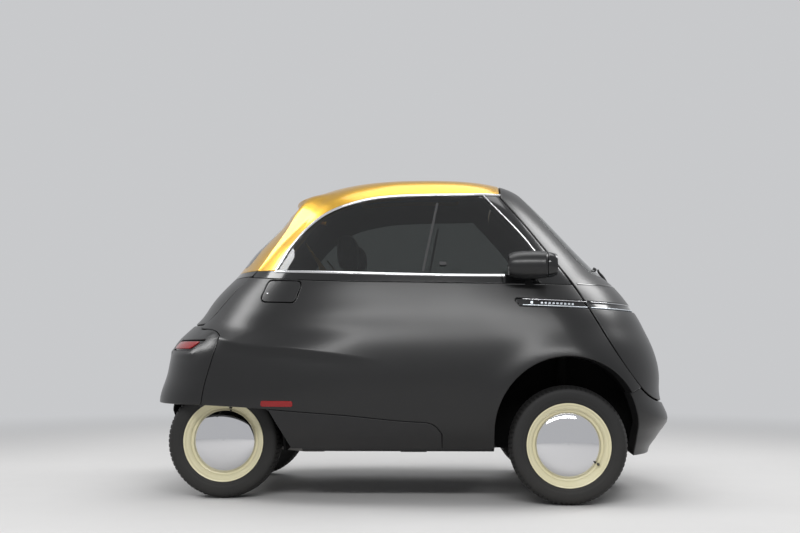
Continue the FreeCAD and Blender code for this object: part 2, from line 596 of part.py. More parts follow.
def knuckle_left():
    """Barrel round the kingpin, with the wheel's spindle and the steering arm."""
    x = FRONT_AXLE_X
    low_z = LOWER_ARM_Z + ARM_H + 5.0
    barrel = rod(point(x, KINGPIN_Y, low_z), point(x, KINGPIN_Y, UPPER_ARM_Z - 5.0), BARREL_R)
    spindle = rod(point(x, KINGPIN_Y, TYRE_R), point(x, SPINDLE_END_Y, TYRE_R), SPINDLE_R)
    steering_arm = box(x - 100.0, x, KINGPIN_Y - 10.0, KINGPIN_Y + 8.0, low_z + 2.0, low_z + 16.0)
    bore_top = point(x, KINGPIN_Y, UPPER_ARM_Z + 25.0)
    bore = rod(point(x, KINGPIN_Y, LOWER_ARM_Z), bore_top, KINGPIN_R + RUNNING_FIT)
    return barrel.fuse([spindle, steering_arm]).cut(bore)


rear_suspension = both(rear_side())
CROSSMEMBER_HALF_X = 48.0
CROSSMEMBER_HALF_Y = 382.0
crossmember = box(
    FRONT_AXLE_X - CROSSMEMBER_HALF_X, FRONT_AXLE_X + CROSSMEMBER_HALF_X,
    -CROSSMEMBER_HALF_Y, CROSSMEMBER_HALF_Y, LOWER_ARM_Z - 10.0, FLOOR_Z)
front_suspension = crossmember.fuse([front_side(), mirrored(front_side())])


def revolved(profile, axis_point, axis):
    """Solid of revolution of a closed polygon, given as points."""
    face = Part.Face(Part.makePolygon(profile + [profile[0]]))
    return face.revolve(axis_point, axis, 360.0)


COLUMN_LENGTH = 320.0
COLUMN_R = 28.0
POST_HALF = 25.0
SHAFT_R = 9.0
GRIP_R = 170.0
GRIP_HALF = 15.0
WHEEL_HUB_R = 45.0
SPOKE_R = 11.0
wheel_low_spoke = Vector(-WHEEL_AXIS.z, 0.0, WHEEL_AXIS.x)
column_top = STEERING_WHEEL_AT - WHEEL_AXIS * 60.0
steering_column = rod(column_top - WHEEL_AXIS * COLUMN_LENGTH, column_top, COLUMN_R)
post = column_top - WHEEL_AXIS * (COLUMN_LENGTH - 60.0)
post_box = box(
    post.x - POST_HALF, post.x + POST_HALF, post.y - POST_HALF, post.y + POST_HALF, FLOOR_TOP_Z, post.z)
steering_shaft = rod(column_top - WHEEL_AXIS * 40.0, STEERING_WHEEL_AT, SHAFT_R)
steering_column = steering_column.fuse(post_box).fuse(steering_shaft)
steering_wheel = Part.makeTorus(GRIP_R, GRIP_HALF, STEERING_WHEEL_AT, WHEEL_AXIS)
hub_low = STEERING_WHEEL_AT - WHEEL_AXIS * 30.0
hub_high = STEERING_WHEEL_AT + WHEEL_AXIS * 20.0
steering_wheel = steering_wheel.fuse(rod(hub_low, hub_high, WHEEL_HUB_R))
for direction in (point(0, 1, 0), point(0, -1, 0), wheel_low_spoke):
    spoke = rod(STEERING_WHEEL_AT, STEERING_WHEEL_AT + direction * GRIP_R, SPOKE_R)
    steering_wheel = steering_wheel.fuse(spoke)
shaft_bore = rod(hub_low - WHEEL_AXIS, STEERING_WHEEL_AT + WHEEL_AXIS, SHAFT_R + RUNNING_FIT)
steering_wheel = steering_wheel.cut(shaft_bore)

# ---- seats ----

SEAT_HALF_Y = 540.0
SEAT_BASE_TOP_Z = 340.0
SEAT_TOP_Z = 470.0
SEAT_ROUND = 40.0
BACK_HALF_Y = 530.0
BACK_ROUND = 35.0
HEADREST_Y = 285.0
HEADREST_HALF_Y = 125.0
HEADREST_LOW_Z = 1050.0
HEADREST_TOP_Z = 1241.0
POST_R = 14.0
seat_base = box(-400.0, 90.0, -SEAT_HALF_Y + 40.0, SEAT_HALF_Y - 40.0, FLOOR_TOP_Z, SEAT_BASE_TOP_Z)
seat_top = box(-380.0, 130.0, -SEAT_HALF_Y, SEAT_HALF_Y, SEAT_BASE_TOP_Z, SEAT_TOP_Z)
seat_top = seat_top.makeFillet(SEAT_ROUND, seat_top.Edges)
seat_cushion = seat_base.fuse(seat_top)
seat_back = side_prism(SEAT_BACK, -BACK_HALF_Y, BACK_HALF_Y)
seat_back = seat_back.makeFillet(BACK_ROUND, seat_back.Edges)
for y in (-HEADREST_Y, HEADREST_Y):
    headrest = box(-375.0, -270.0, y - HEADREST_HALF_Y, y + HEADREST_HALF_Y, HEADREST_LOW_Z, HEADREST_TOP_Z)
    headrest = headrest.makeFillet(BACK_ROUND, headrest.Edges)
    post_low, post_high = point(-335.0, y, HEADREST_LOW_Z - 50.0), point(-325.0, y, HEADREST_LOW_Z + 20.0)
    headrest_post = rod(post_low, post_high, POST_R)
    seat_back = seat_back.fuse([headrest, headrest_post])

# ---- lamp pods ----


def pod():
    """Barrel along X with a short arm to the body, right side."""
    rear_x = POD_PROFILE[0][0]
    front_x = POD_PROFILE[-1][0]
    outline = [point(rear_x, -POD_Y, POD_Z)]
    outline += [point(x, -POD_Y, POD_Z + radius) for x, radius in POD_PROFILE]
    outline.append(point(front_x, -POD_Y, POD_Z))
    barrel = revolved(outline, point(0, -POD_Y, POD_Z), point(1, 0, 0))
    arm = rod(point(POD_ARM_X, -560.0, 985.0), point(POD_ARM_X, -POD_Y, POD_Z), POD_ARM_R)
    return barrel.fuse(arm.cut(upper_outer))


lamp_pod = pod()
pod_rear, pod_rear_r = POD_PROFILE[0]
pod_front, pod_front_r = POD_PROFILE[-1]
headlamp_lens = rod(point(pod_front, -POD_Y, POD_Z), point(pod_front + 10.0, -POD_Y, POD_Z), pod_front_r - 2.0)
mirror_glass = rod(point(pod_rear - 4.0, -POD_Y, POD_Z), point(pod_rear, -POD_Y, POD_Z), pod_rear_r - 4.0)

# ---- wheels, about the Y axis through the origin, outer side at +Y ----

TYRE_PROFILE = [
    (RIM_R, TYRE_HALF_W - 16.5), (RIM_R + 24.0, TYRE_HALF_W - 3.0), (RIM_R + 52.0, TYRE_HALF_W),
    (TYRE_R - 10.0, TYRE_HALF_W - 11.5), (TYRE_R - 1.0, TYRE_HALF_W - 30.5), (TYRE_R, 0.0),
]
HUB_R = 30.0
HUB_BORE_R = SPINDLE_R + RUNNING_FIT
RIM_PROFILE = [
    (RIM_R, 60.0), (RIM_R + 10.0, 66.0), (RIM_R + 7.0, 68.0), (RIM_R - 4.0, 60.0), (RIM_R - 10.0, 38.0),
    (RIM_R - 16.0, 30.0), (120.0, 22.0), (HUB_R, 26.0), (HUB_R, 36.0), (HUB_BORE_R, 36.0), (HUB_BORE_R, -34.0),
    (HUB_R, -34.0), (HUB_R, 12.0), (120.0, 12.0), (RIM_R - 18.0, 16.0), (RIM_R - 8.0, 0.0),
    (RIM_R - 8.0, -58.0), (RIM_R + 10.0, -66.0), (RIM_R, -60.0),
]
HUBCAP_PROFILE = [
    (HUBCAP_R, 27.5), (HUBCAP_R - 2.0, 33.0), (120.0, 43.0), (90.0, 50.0), (50.0, 55.0), (0.0, 57.0),
    (0.0, 52.0), (50.0, 50.0), (90.0, 45.0), (118.0, 38.0), (HUBCAP_R - 7.0, 30.0),
]


def turned(profile):
    return revolved([point(radius, y, 0.0) for radius, y in profile], point(0, 0, 0), point(0, 1, 0))


tyre = turned(TYRE_PROFILE + [(radius, -y) for radius, y in TYRE_PROFILE[-2::-1]])
rim = turned(RIM_PROFILE)
hubcap = turned(HUBCAP_PROFILE)
WHEELS = [
    ("front_right", FRONT_AXLE_X, -TRACK_FRONT / 2.0), ("front_left", FRONT_AXLE_X, TRACK_FRONT / 2.0),
    ("rear_right", REAR_AXLE_X, -TRACK_REAR / 2.0), ("rear_left", REAR_AXLE_X, TRACK_REAR / 2.0),
]

os.makedirs("parts", exist_ok=True)
pieces = {
    "floor_pan": floor_pan, "side_panel_right": side_panel_right, "side_panel_left": side_panel_left,
    "sills": both(sill), "roof_shell": roof_shell, "sunroof": sunroof, "tail_panel": tail_panel,
    "front_bumper": front_bumper, "wheel_housings": wheel_housings, "motor_block": motor_block,
    "seat_cushion": seat_cushion, "seat_back": seat_back, "side_windows": both(side_window),
    "bright_rails": Part.makeCompound([both(drip_rail), both(belt_strip)]), "charge_socket": charge_socket,
    "lamp_pods": both(lamp_pod), "headlamp_lenses": both(headlamp_lens), "mirror_glasses": both(mirror_glass),
    "tail_lamps": both(tail_lamp), "side_reflectors": both(reflector), "side_light_bars": both(side_light),
    "steering_column": steering_column,
    "front_suspension": front_suspension, "rear_suspension": rear_suspension,
    "front_door": front_door, "windscreen": windscreen, "front_light_bar": door_light, "wiper": wiper_arm,
    "dash_bar": dash_bar, "hatch_panel": hatch_panel, "rear_window": rear_window, "charge_flap": charge_flap,
    "knuckle_right": mirrored(knuckle_left()), "knuckle_left": knuckle_left(), "steering_wheel": steering_wheel,
}
for place, axle_x, wheel_y in WHEELS:
    for node, shape in (("tyre", tyre), ("rim", rim), ("hubcap", hubcap)):
        turned_out = shape if wheel_y > 0.0 else mirrored(shape)
        pieces[node + "_" + place] = turned_out.translated(point(axle_x, wheel_y, TYRE_R))
for node, shape in pieces.items():
    save(shape, node)
print("flap axis", flap_low, flap_axis)
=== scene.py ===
import json
import math
import bmesh
import bpy
import numpy as np
from mathutils import Euler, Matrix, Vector
from mathutils.geometry import delaunay_2d_cdt


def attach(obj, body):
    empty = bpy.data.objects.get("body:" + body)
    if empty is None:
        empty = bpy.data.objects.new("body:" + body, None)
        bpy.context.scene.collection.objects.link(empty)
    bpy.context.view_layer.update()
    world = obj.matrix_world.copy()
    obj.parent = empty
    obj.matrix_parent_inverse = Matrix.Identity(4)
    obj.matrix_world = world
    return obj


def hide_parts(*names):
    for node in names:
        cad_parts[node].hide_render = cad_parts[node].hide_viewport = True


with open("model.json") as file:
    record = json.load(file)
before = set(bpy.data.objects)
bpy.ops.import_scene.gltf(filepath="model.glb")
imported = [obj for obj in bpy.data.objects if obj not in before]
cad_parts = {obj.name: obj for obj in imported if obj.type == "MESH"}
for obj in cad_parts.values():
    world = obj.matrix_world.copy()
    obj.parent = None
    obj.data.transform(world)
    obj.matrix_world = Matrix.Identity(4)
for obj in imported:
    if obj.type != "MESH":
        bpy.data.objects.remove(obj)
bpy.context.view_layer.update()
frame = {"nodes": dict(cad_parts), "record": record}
nodes = frame["nodes"]
print("frame loaded:", len(nodes), "nodes")

# the body's form: plan outlines of four smooth arcs a quarter, joined by splines from one height to the next
# columns in mm: height, nose x, tail x, half width, x of the widest place
# then the nose's power, the tail's power and the tail's taper
# nose x and tail x come from a least squares fit to the side outline, some of them then moved
bodyForm = dict(
    sidePower=2.4, noseCorner=50, tailCorner=71, arcStep=6.0, riseStep=3.0,
    lower=[
        (195, 1146, -1163, 610, 350, 3.4, 12, .16), (226, 1154, -1190, 638, 355, 3.4, 12, .16),
        (262, 1180, -1214, 660, 360, 3.4, 12, .16), (302, 1206, -1236, 682, 365, 3.4, 12, .16),
        (345, 1233, -1252, 700, 370, 3.6, 12, .16), (446, 1190, -1268, 724, 385, 4.4, 12, .16),
        (560, 1186, -1238, 736.5, 400, 4.0, 11, .16), (690, 1163, -1214, 730, 380, 3.6, 9, .15),
        (780, 1128, -1140, 714, 330, 3.3, 6, .11), (840, 1100, -1078, 701, 290, 3.2, 5.5, .09),
        (900, 1061, -1038, 686, 250, 3.1, 5, .08), (980, 999, -972, 664, 195, 3, 4.6, .06),
        (1060, 929, -901, 641, 150, 3, 4.3, .05)],
    upper=[
        (960, 1020, -983, 660, 180, 3, 4.4, .05), (1050, 921, -903, 634, 150, 3, 4.2, .05),
        (1150, 818, -827, 600, 120, 3.1, 4, .04), (1290, 685, -686, 557, 90, 3.2, 4, .02),
        (1400, 577, -580, 512, 60, 3.2, 4, 0), (1455, 506, -462, 468, 50, 3.1, 3.6, 0),
        (1485, 400, -305, 410, 50, 2.8, 3, 0), (1496, 275, -165, 320, 45, 2.6, 2.6, 0),
        (1501, 110, -10, 150, 45, 2.4, 2.4, 0)])


def arcPoints(start, tangent, end, share):
    # arc that leaves start along tangent and ends at end: its chord turns evenly with the share of the arc
    chord = end - start
    length = math.hypot(*chord)
    halfTurn = math.atan2(tangent[0] * chord[1] - tangent[1] * chord[0], tangent @ chord)
    reach = length * (np.sin(halfTurn * share) / math.sin(halfTurn) if abs(halfTurn) > 1e-6 else share)
    angle = math.atan2(tangent[1], tangent[0]) + halfTurn * share
    return start + reach[:, None] * np.stack([np.cos(angle), np.sin(angle)], 1)


def quarterPoint(row, degrees, toNose):
    # superellipse in plan: reach along x by one power and spread along y by another, narrowed to the tail
    _, nose, tail, half, wide, nosePower, tailPower, taper = row
    power = nosePower if toNose else tailPower
    reach = round(math.cos(math.radians(degrees)), 9) ** (2 / power)
    spread = math.sin(math.radians(degrees)) ** (2 / bodyForm["sidePower"])
    if not toNose:
        spread *= 1 - taper * reach * reach
    return np.array([wide + ((nose if toNose else tail) - wide) * reach, -half * spread])


def biarcEnds(start, startTangent, end, endTangent):
    # two arcs that meet where their corner points' middle lies
    span = end - start
    bend = 1 - startTangent @ endTangent
    along = span @ (startTangent + endTangent)
    reach = (math.sqrt(along * along + 2 * bend * (span @ span)) - along) / (2 * bend)
    first, last = start + startTangent * reach, end - endTangent * reach
    across = (last - first) / np.linalg.norm(last - first)
    return [(start, startTangent, (first + last) / 2), ((first + last) / 2, across, end)]


def quarterArcs(row, toNose):
    degrees = bodyForm["noseCorner"] if toNose else bodyForm["tailCorner"]
    ahead, behind = quarterPoint(row, degrees + .5, toNose), quarterPoint(row, degrees - .5, toNose)
    corner, tangent = quarterPoint(row, degrees, toNose), (ahead - behind) / np.linalg.norm(ahead - behind)
    lengthways = np.array([-1.0 if toNose else 1.0, 0.0])
    return (biarcEnds(quarterPoint(row, 0, toNose), np.array([0.0, -1.0]), corner, tangent)
            + biarcEnds(corner, tangent, quarterPoint(row, 90, toNose), lengthways))


def splineMatrix(at, want):
    # natural cubic spline as a matrix: values at the knots times it give values at the wanted places
    n, h = len(at), np.diff(at)
    curve = np.zeros((n, n))
    system = np.eye(n)
    for i in range(1, n - 1):
        system[i, i - 1:i + 2] = h[i - 1] / 6, (h[i - 1] + h[i]) / 3, h[i] / 6
        curve[i, i - 1:i + 2] = 1 / h[i - 1], -1 / h[i - 1] - 1 / h[i], 1 / h[i]
    second = np.linalg.solve(system, curve)
    i = np.clip(np.searchsorted(at, want) - 1, 0, n - 2)
    b = (want - at[i]) / h[i]
    a = 1 - b
    unit = np.eye(n)
    return (a[:, None] * unit[i] + b[:, None] * unit[i + 1]
            + ((a ** 3 - a) * h[i] ** 2 / 6)[:, None] * second[i]
            + ((b ** 3 - b) * h[i] ** 2 / 6)[:, None] * second[i + 1])


def bodySurface(rows):
    # table of points over the share of the way round (-1 tail, 0 nose, 1 tail again) and the way up the side
    arcs = [quarterArcs(r, True) + quarterArcs(r, False) for r in rows]
    counts = [max(int(np.linalg.norm(a[2] - a[0]) / bodyForm["arcStep"]), 6) for a in arcs[len(rows) // 2]]
    lines = []
    for rowArcs, row in zip(arcs, rows):
        runs = [arcPoints(*a, np.arange(n) / n) for a, n in zip(rowArcs, counts)]
        widest = quarterPoint(row, 90, True)[None]
        tailEnd = np.concatenate([*runs[4:], widest])[::-1]
        line = np.concatenate([*runs[:4], tailEnd])
        lines.append(np.column_stack([line, np.full(len(line), row[0])]))
    lines = np.array(lines, float) / 1000
    risen = np.concatenate([[0], np.cumsum(np.linalg.norm(np.diff(lines, axis=0), axis=2).mean(1))])
    fine = np.linspace(0, risen[-1], int(risen[-1] * 1000 / bodyForm["riseStep"]))
    table = (splineMatrix(risen, fine) @ lines.reshape(len(rows), -1)).reshape(len(fine), -1, 3)
    left = table[:, ::-1] * [1, -1, 1]
    table = np.concatenate([left, table[:, 1:]], 1)
    around = np.concatenate([table[:, -3:-1], table, table[:, 1:3]], 1)
    normal = np.cross(np.gradient(around, axis=0), np.gradient(around, axis=1))[:, 2:-2]
    normal /= np.linalg.norm(normal, axis=2, keepdims=True)
    half = np.linalg.norm(np.diff(table[len(fine) // 3], axis=0), axis=1).sum() / 2
    return dict(table=table, normal=normal, rise=fine, height=table[:, 0, 2], half=half)


def sampled(body, key, share, rise):
    # cubic interpolation in the table, the share wrapping round at the tail
    table = body[key]
    across = table.shape[1] - 1
    column = ((np.asarray(share) + 1) / 2 * across) % across
    line = np.clip(np.asarray(rise) / body["rise"][1], 1, len(body["rise"]) - 2.001)
    j, i = np.floor(column).astype(int), np.floor(line).astype(int)
    t, s = column - j, line - i

    def weights(f):
        return [((-f + 2) * f - 1) * f / 2, ((3 * f - 5) * f * f + 2) / 2, ((-3 * f + 4) * f + 1) * f / 2,
                (f - 1) * f * f / 2]

    total = 0
    for di, wi in zip((-1, 0, 1, 2), weights(s)):
        for dj, wj in zip((-1, 0, 1, 2), weights(t)):
            total = total + (wi * wj)[..., None] * table[np.clip(i + di, 0, len(table) - 1),
                                                         (j + dj) % across]
    return total


def surfaceAt(body, share, rise):
    normal = sampled(body, "normal", share, rise)
    return sampled(body, "table", share, rise), normal / np.linalg.norm(normal, axis=-1, keepdims=True)


lowerBody = bodySurface(bodyForm["lower"])
upperBody = bodySurface(bodyForm["upper"])
frontBody = bodySurface(bodyForm["lower"][:-2] + [(980, 999, -971, 662, 193, 3, 4.6,
                                                   .06)] + bodyForm["upper"][1:])
print("body surfaces worked out")


# finishes: shared effects are node groups, the shader's plain values are set on the shader itself
def groupOf(name, inputs, outputs):
    group = bpy.data.node_groups.new(name, "ShaderNodeTree")
    for label, kind, value in inputs:
        socket = group.interface.new_socket(name=label, in_out="INPUT", socket_type=kind)
        socket.default_value = value
    for label, kind in outputs:
        group.interface.new_socket(name=label, in_out="OUTPUT", socket_type=kind)
    return group, group.nodes.new("NodeGroupInput"), group.nodes.new("NodeGroupOutput")


def put(tree, kind, links=None, settings=None, **values):
    # a node with its settings, its plain values and what is linked into it
    node = tree.nodes.new(kind)
    for key, value in (settings or {}).items():
        setattr(node, key, value)
    for key, value in values.items():
        node.inputs[int(key[1:]) if key[0] == "i" and key[1:].isdigit() else key].default_value = value
    for key, source in (links or {}).items():
        tree.links.new(source, node.inputs[key])
    return node


def mathNode(tree, operation, a, b=None, clamp=False):
    node = tree.nodes.new("ShaderNodeMath")
    node.operation, node.use_clamp = operation, clamp
    for socket, value in zip(node.inputs, (a, b)):
        if value is None:
            continue
        if isinstance(value, (int, float)):
            socket.default_value = value
        else:
            tree.links.new(value, socket)
    return node.outputs[0]


def makeSurfaceTone():
    # colour and roughness that drift a little over the piece, and a fine bump such as orange peel or grain
    group, came, gone = groupOf("surfaceTone", [
        ("Colour", "NodeSocketColor", (.5, .5, .5, 1)), ("Other Colour", "NodeSocketColor", (.5, .5, .5, 1)),
        ("Patch Scale", "NodeSocketFloat", 6.0), ("Roughness", "NodeSocketFloat", .4),
        ("Roughness Drift", "NodeSocketFloat", .05),
        ("Grain Scale", "NodeSocketFloat", 900.0), ("Grain Height", "NodeSocketFloat", .02),
        ("Grain Depth", "NodeSocketFloat", .001)],
        [("Colour", "NodeSocketColor"), ("Roughness", "NodeSocketFloat"), ("Normal", "NodeSocketVector")])
    place = put(group, "ShaderNodeTexCoord").outputs["Object"]
    patch = put(group, "ShaderNodeTexNoise", {"Vector": place, "Scale": came.outputs["Patch Scale"]},
                Detail=3.0)
    mix = put(group, "ShaderNodeMix",
              {0: patch.outputs["Fac"], 6: came.outputs["Colour"], 7: came.outputs["Other Colour"]},
              {"data_type": "RGBA"})
    drift = mathNode(group, "MULTIPLY", mathNode(group, "SUBTRACT", patch.outputs["Fac"], .5),
                     came.outputs["Roughness Drift"])
    rough = mathNode(group, "ADD", came.outputs["Roughness"], drift, True)
    grain = put(group, "ShaderNodeTexNoise", {"Vector": place, "Scale": came.outputs["Grain Scale"]},
                Detail=2.0)
    bump = put(group, "ShaderNodeBump",
               {"Height": grain.outputs["Fac"], "Strength": came.outputs["Grain Height"],
                "Distance": came.outputs["Grain Depth"]})
    group.links.new(mix.outputs[2], gone.inputs["Colour"])
    group.links.new(rough, gone.inputs["Roughness"])
    group.links.new(bump.outputs["Normal"], gone.inputs["Normal"])
    return group


def makeFlake():
    # metallic flake: small cells, each a little lighter or darker and turned its own way
    group, came, gone = groupOf("metalFlake", [
        ("Colour", "NodeSocketColor", (.6, .4, .1, 1)), ("Flake Colour", "NodeSocketColor", (.9, .7, .3, 1)),
        ("Scale", "NodeSocketFloat", 1500.0), ("Amount", "NodeSocketFloat", .5),
        ("Tilt", "NodeSocketFloat", .2)],
        [("Colour", "NodeSocketColor"), ("Normal", "NodeSocketVector")])
    place = put(group, "ShaderNodeTexCoord").outputs["Object"]
    cells = put(group, "ShaderNodeTexVoronoi", {"Vector": place, "Scale": came.outputs["Scale"]})
    tone = put(group, "ShaderNodeSeparateColor", {"Color": cells.outputs["Color"]})
    share = mathNode(group, "MULTIPLY", mathNode(group, "POWER", tone.outputs[0], 3.0),
                     came.outputs["Amount"], True)
    mix = put(group, "ShaderNodeMix", {0: share, 6: came.outputs["Colour"], 7: came.outputs["Flake Colour"]},
              {"data_type": "RGBA"})
    bump = put(group, "ShaderNodeBump", {"Height": tone.outputs[1], "Strength": came.outputs["Tilt"]},
               Distance=.0004)
    group.links.new(mix.outputs[2], gone.inputs["Colour"])
    group.links.new(bump.outputs["Normal"], gone.inputs["Normal"])
    return group


def makeRoadDust():
    # mask of dust and dried splash that grows towards the ground and gathers in patches
    group, came, gone = groupOf("roadDust", [
        ("Top", "NodeSocketFloat", .5), ("Amount", "NodeSocketFloat", .4), ("Scale", "NodeSocketFloat", 9.0),
        ("Colour", "NodeSocketColor", (.1, .1, .1, 1)), ("Dust", "NodeSocketColor", (.2, .18, .15, 1)),
        ("Roughness", "NodeSocketFloat", .4)],
        [("Colour", "NodeSocketColor"), ("Roughness", "NodeSocketFloat")])
    place = put(group, "ShaderNodeTexCoord").outputs["Object"]
    low = put(group, "ShaderNodeSeparateXYZ", {"Vector": place})
    fall = put(group, "ShaderNodeMapRange", {"Value": low.outputs[2], "From Min": came.outputs["Top"]})
    fall.inputs["From Max"].default_value = 0.0
    patch = put(group, "ShaderNodeTexNoise", {"Vector": place, "Scale": came.outputs["Scale"]}, Detail=6.0,
                Roughness=.65)
    share = mathNode(group, "MULTIPLY", mathNode(group, "MULTIPLY", fall.outputs[0], patch.outputs["Fac"]),
                     came.outputs["Amount"], True)
    mix = put(group, "ShaderNodeMix", {0: share, 6: came.outputs["Colour"], 7: came.outputs["Dust"]},
              {"data_type": "RGBA"})
    rough = mathNode(group, "ADD", came.outputs["Roughness"], mathNode(group, "MULTIPLY", share, .4), True)
    group.links.new(mix.outputs[2], gone.inputs["Colour"])
    group.links.new(rough, gone.inputs["Roughness"])
    return group


def makeWeave():
    # woven cloth: two crossed sets of threads along X and along the fall of the piece, with a fibre noise
    group, came, gone = groupOf("weave", [
        ("Colour", "NodeSocketColor", (.03, .03, .03, 1)),
        ("Thread Colour", "NodeSocketColor", (.06, .06, .06, 1)),
        ("Scale", "NodeSocketFloat", 500.0), ("Height", "NodeSocketFloat", .3)],
        [("Colour", "NodeSocketColor"), ("Normal", "NodeSocketVector")])
    place = put(group, "ShaderNodeTexCoord").outputs["Object"]
    part = put(group, "ShaderNodeSeparateXYZ", {"Vector": place})
    down = mathNode(group, "ADD", part.outputs[0], part.outputs[2])
    waves = [mathNode(group, "SINE",
            mathNode(group, "MULTIPLY", axis, came.outputs["Scale"])) for axis in (part.outputs[1], down)]
    crossed = mathNode(group, "ADD",
                       mathNode(group, "MULTIPLY", mathNode(group, "MULTIPLY", waves[0], waves[1]), .5), .5)
    fibre = put(group, "ShaderNodeTexNoise", {"Vector": place}, Scale=350.0, Detail=4.0)
    share = mathNode(group, "MULTIPLY", crossed, fibre.outputs["Fac"], True)
    mix = put(group, "ShaderNodeMix", {0: share, 6: came.outputs["Colour"], 7: came.outputs["Thread Colour"]},
              {"data_type": "RGBA"})
    bump = put(group, "ShaderNodeBump", {"Height": share, "Strength": came.outputs["Height"]}, Distance=.0008)
    group.links.new(mix.outputs[2], gone.inputs["Colour"])
    group.links.new(bump.outputs["Normal"], gone.inputs["Normal"])
    return group


groups = dict(tone=makeSurfaceTone(), flake=makeFlake(), dust=makeRoadDust(), weave=makeWeave())
# tone: colour, other colour, patch scale, roughness drift, grain scale, height and depth
# dust: top height, amount
finishValues = dict(
    body_black=dict(colour=(.0085, .0085, .0088), other=(.0105, .0105, .011), roughness=.31, drift=.04,
                    grain=(1400, .03, .0006),
                    dust=(.42, .12), specular=.4, coat=.1, coatRoughness=.3),
    sill_grey=dict(colour=(.014, .014, .015), other=(.018, .018, .019), roughness=.45, drift=.06,
                   grain=(900, .12, .0006), dust=(.4, .2),
                   specular=.35),
    # painted shade for inside the arches: the wheel housings' own dark plastic is darkened further, and the
    # steel front strut is painted near-black in place of its own finish
    arch_painted_shade=dict(colour=(.004, .004, .004), other=(.006, .006, .006), roughness=.9, drift=.05,
                   grain=(500, .4, .001), specular=.12),
    roof_gold=dict(colour=(.56, .3, .022), flake=(.98, .68, .12), roughness=.3, metallic=.85, coat=.6,
                   coatRoughness=.06),
    dark_plastic=dict(colour=(.018, .018, .019), other=(.024, .024, .025), roughness=.55, drift=.08,
                      grain=(700, .35, .0006)),
    inner_trim=dict(colour=(.03, .03, .032), other=(.04, .04, .042), roughness=.7, drift=.08,
                    grain=(420, .4, .0008)),
    headlining=dict(colour=(.035, .035, .036), other=(.05, .05, .05), roughness=.9, drift=.05,
                    grain=(260, .5, .001)),
    cast_grey=dict(colour=(.14, .14, .145), other=(.2, .2, .2), roughness=.55, drift=.1,
                   grain=(300, .5, .001), metallic=.7, dust=(.6, .5)),
    seat_cloth=dict(colour=(.02, .02, .022), weave=(.05, .05, .053), roughness=.85, sheen=.35),
    gold_cloth=dict(colour=(.35, .2, .04), weave=(.6, .38, .1), roughness=.7, sheen=.2),
    tinted_glass=dict(colour=(.2, .215, .21), roughness=0.0, transmission=1.0),
    bright_trim=dict(colour=(.78, .78, .79), other=(.7, .7, .72), roughness=.2, drift=.08,
                     grain=(500, .03, .0004), metallic=1.0),
    pod_gloss=dict(colour=(.006, .006, .0065), other=(.008, .008, .0085), roughness=.14, drift=.04,
                   grain=(60, .01, .0006), specular=.4, coat=.3, coatRoughness=.04),
    clear_lens=dict(colour=(.93, .94, .95), roughness=.03, transmission=1.0),
    mirror_face=dict(colour=(.9, .9, .9), other=(.86, .87, .88), roughness=.03, drift=.02,
                     grain=(5, .002, .0004), metallic=1.0),
    red_lens=dict(colour=(.3, .002, .004), other=(.22, .002, .003), roughness=.16, drift=.05,
                  grain=(300, .25, .0006), specular=.4, coat=.25, coatRoughness=.05),
    steel_dark=dict(colour=(.16, .16, .165), other=(.22, .21, .2), roughness=.42, drift=.12,
                    grain=(400, .2, .0006), metallic=.85, dust=(.6, .4)),
    tyre_rubber=dict(colour=(.0085, .0085, .0088), other=(.0125, .0125, .0125), roughness=.62, drift=.1,
                     grain=(650, .35, .0008), dust=(.5, .12), specular=.4),
    rim_cream=dict(colour=(.74, .68, .43), other=(.78, .73, .5), roughness=.34, drift=.05,
                   grain=(800, .03, .0006), coat=.4, coatRoughness=.1),
    hubcap_chrome=dict(colour=(.72, .72, .73), other=(.68, .68, .7), roughness=.05, drift=.03,
                       grain=(30, .01, .001), metallic=1.0),
    soft_rubber=dict(colour=(.012, .012, .012), other=(.02, .02, .02), roughness=.7, drift=.08,
                     grain=(800, .2, .0005)),
    plate_white=dict(colour=(.62, .62, .6), other=(.58, .58, .56), roughness=.38, drift=.06,
                     grain=(700, .05, .0005)),
    # pale inside of the lamps: the bulb and the lamp segments, and also the painted highlight strip along the
    # slot's foot
    lamp_pale_and_painted_highlight=dict(colour=(.8, .85, .9), other=(.7, .75, .8), roughness=.25, drift=.05,
                   grain=(900, .3, .0005), metallic=.6),
)


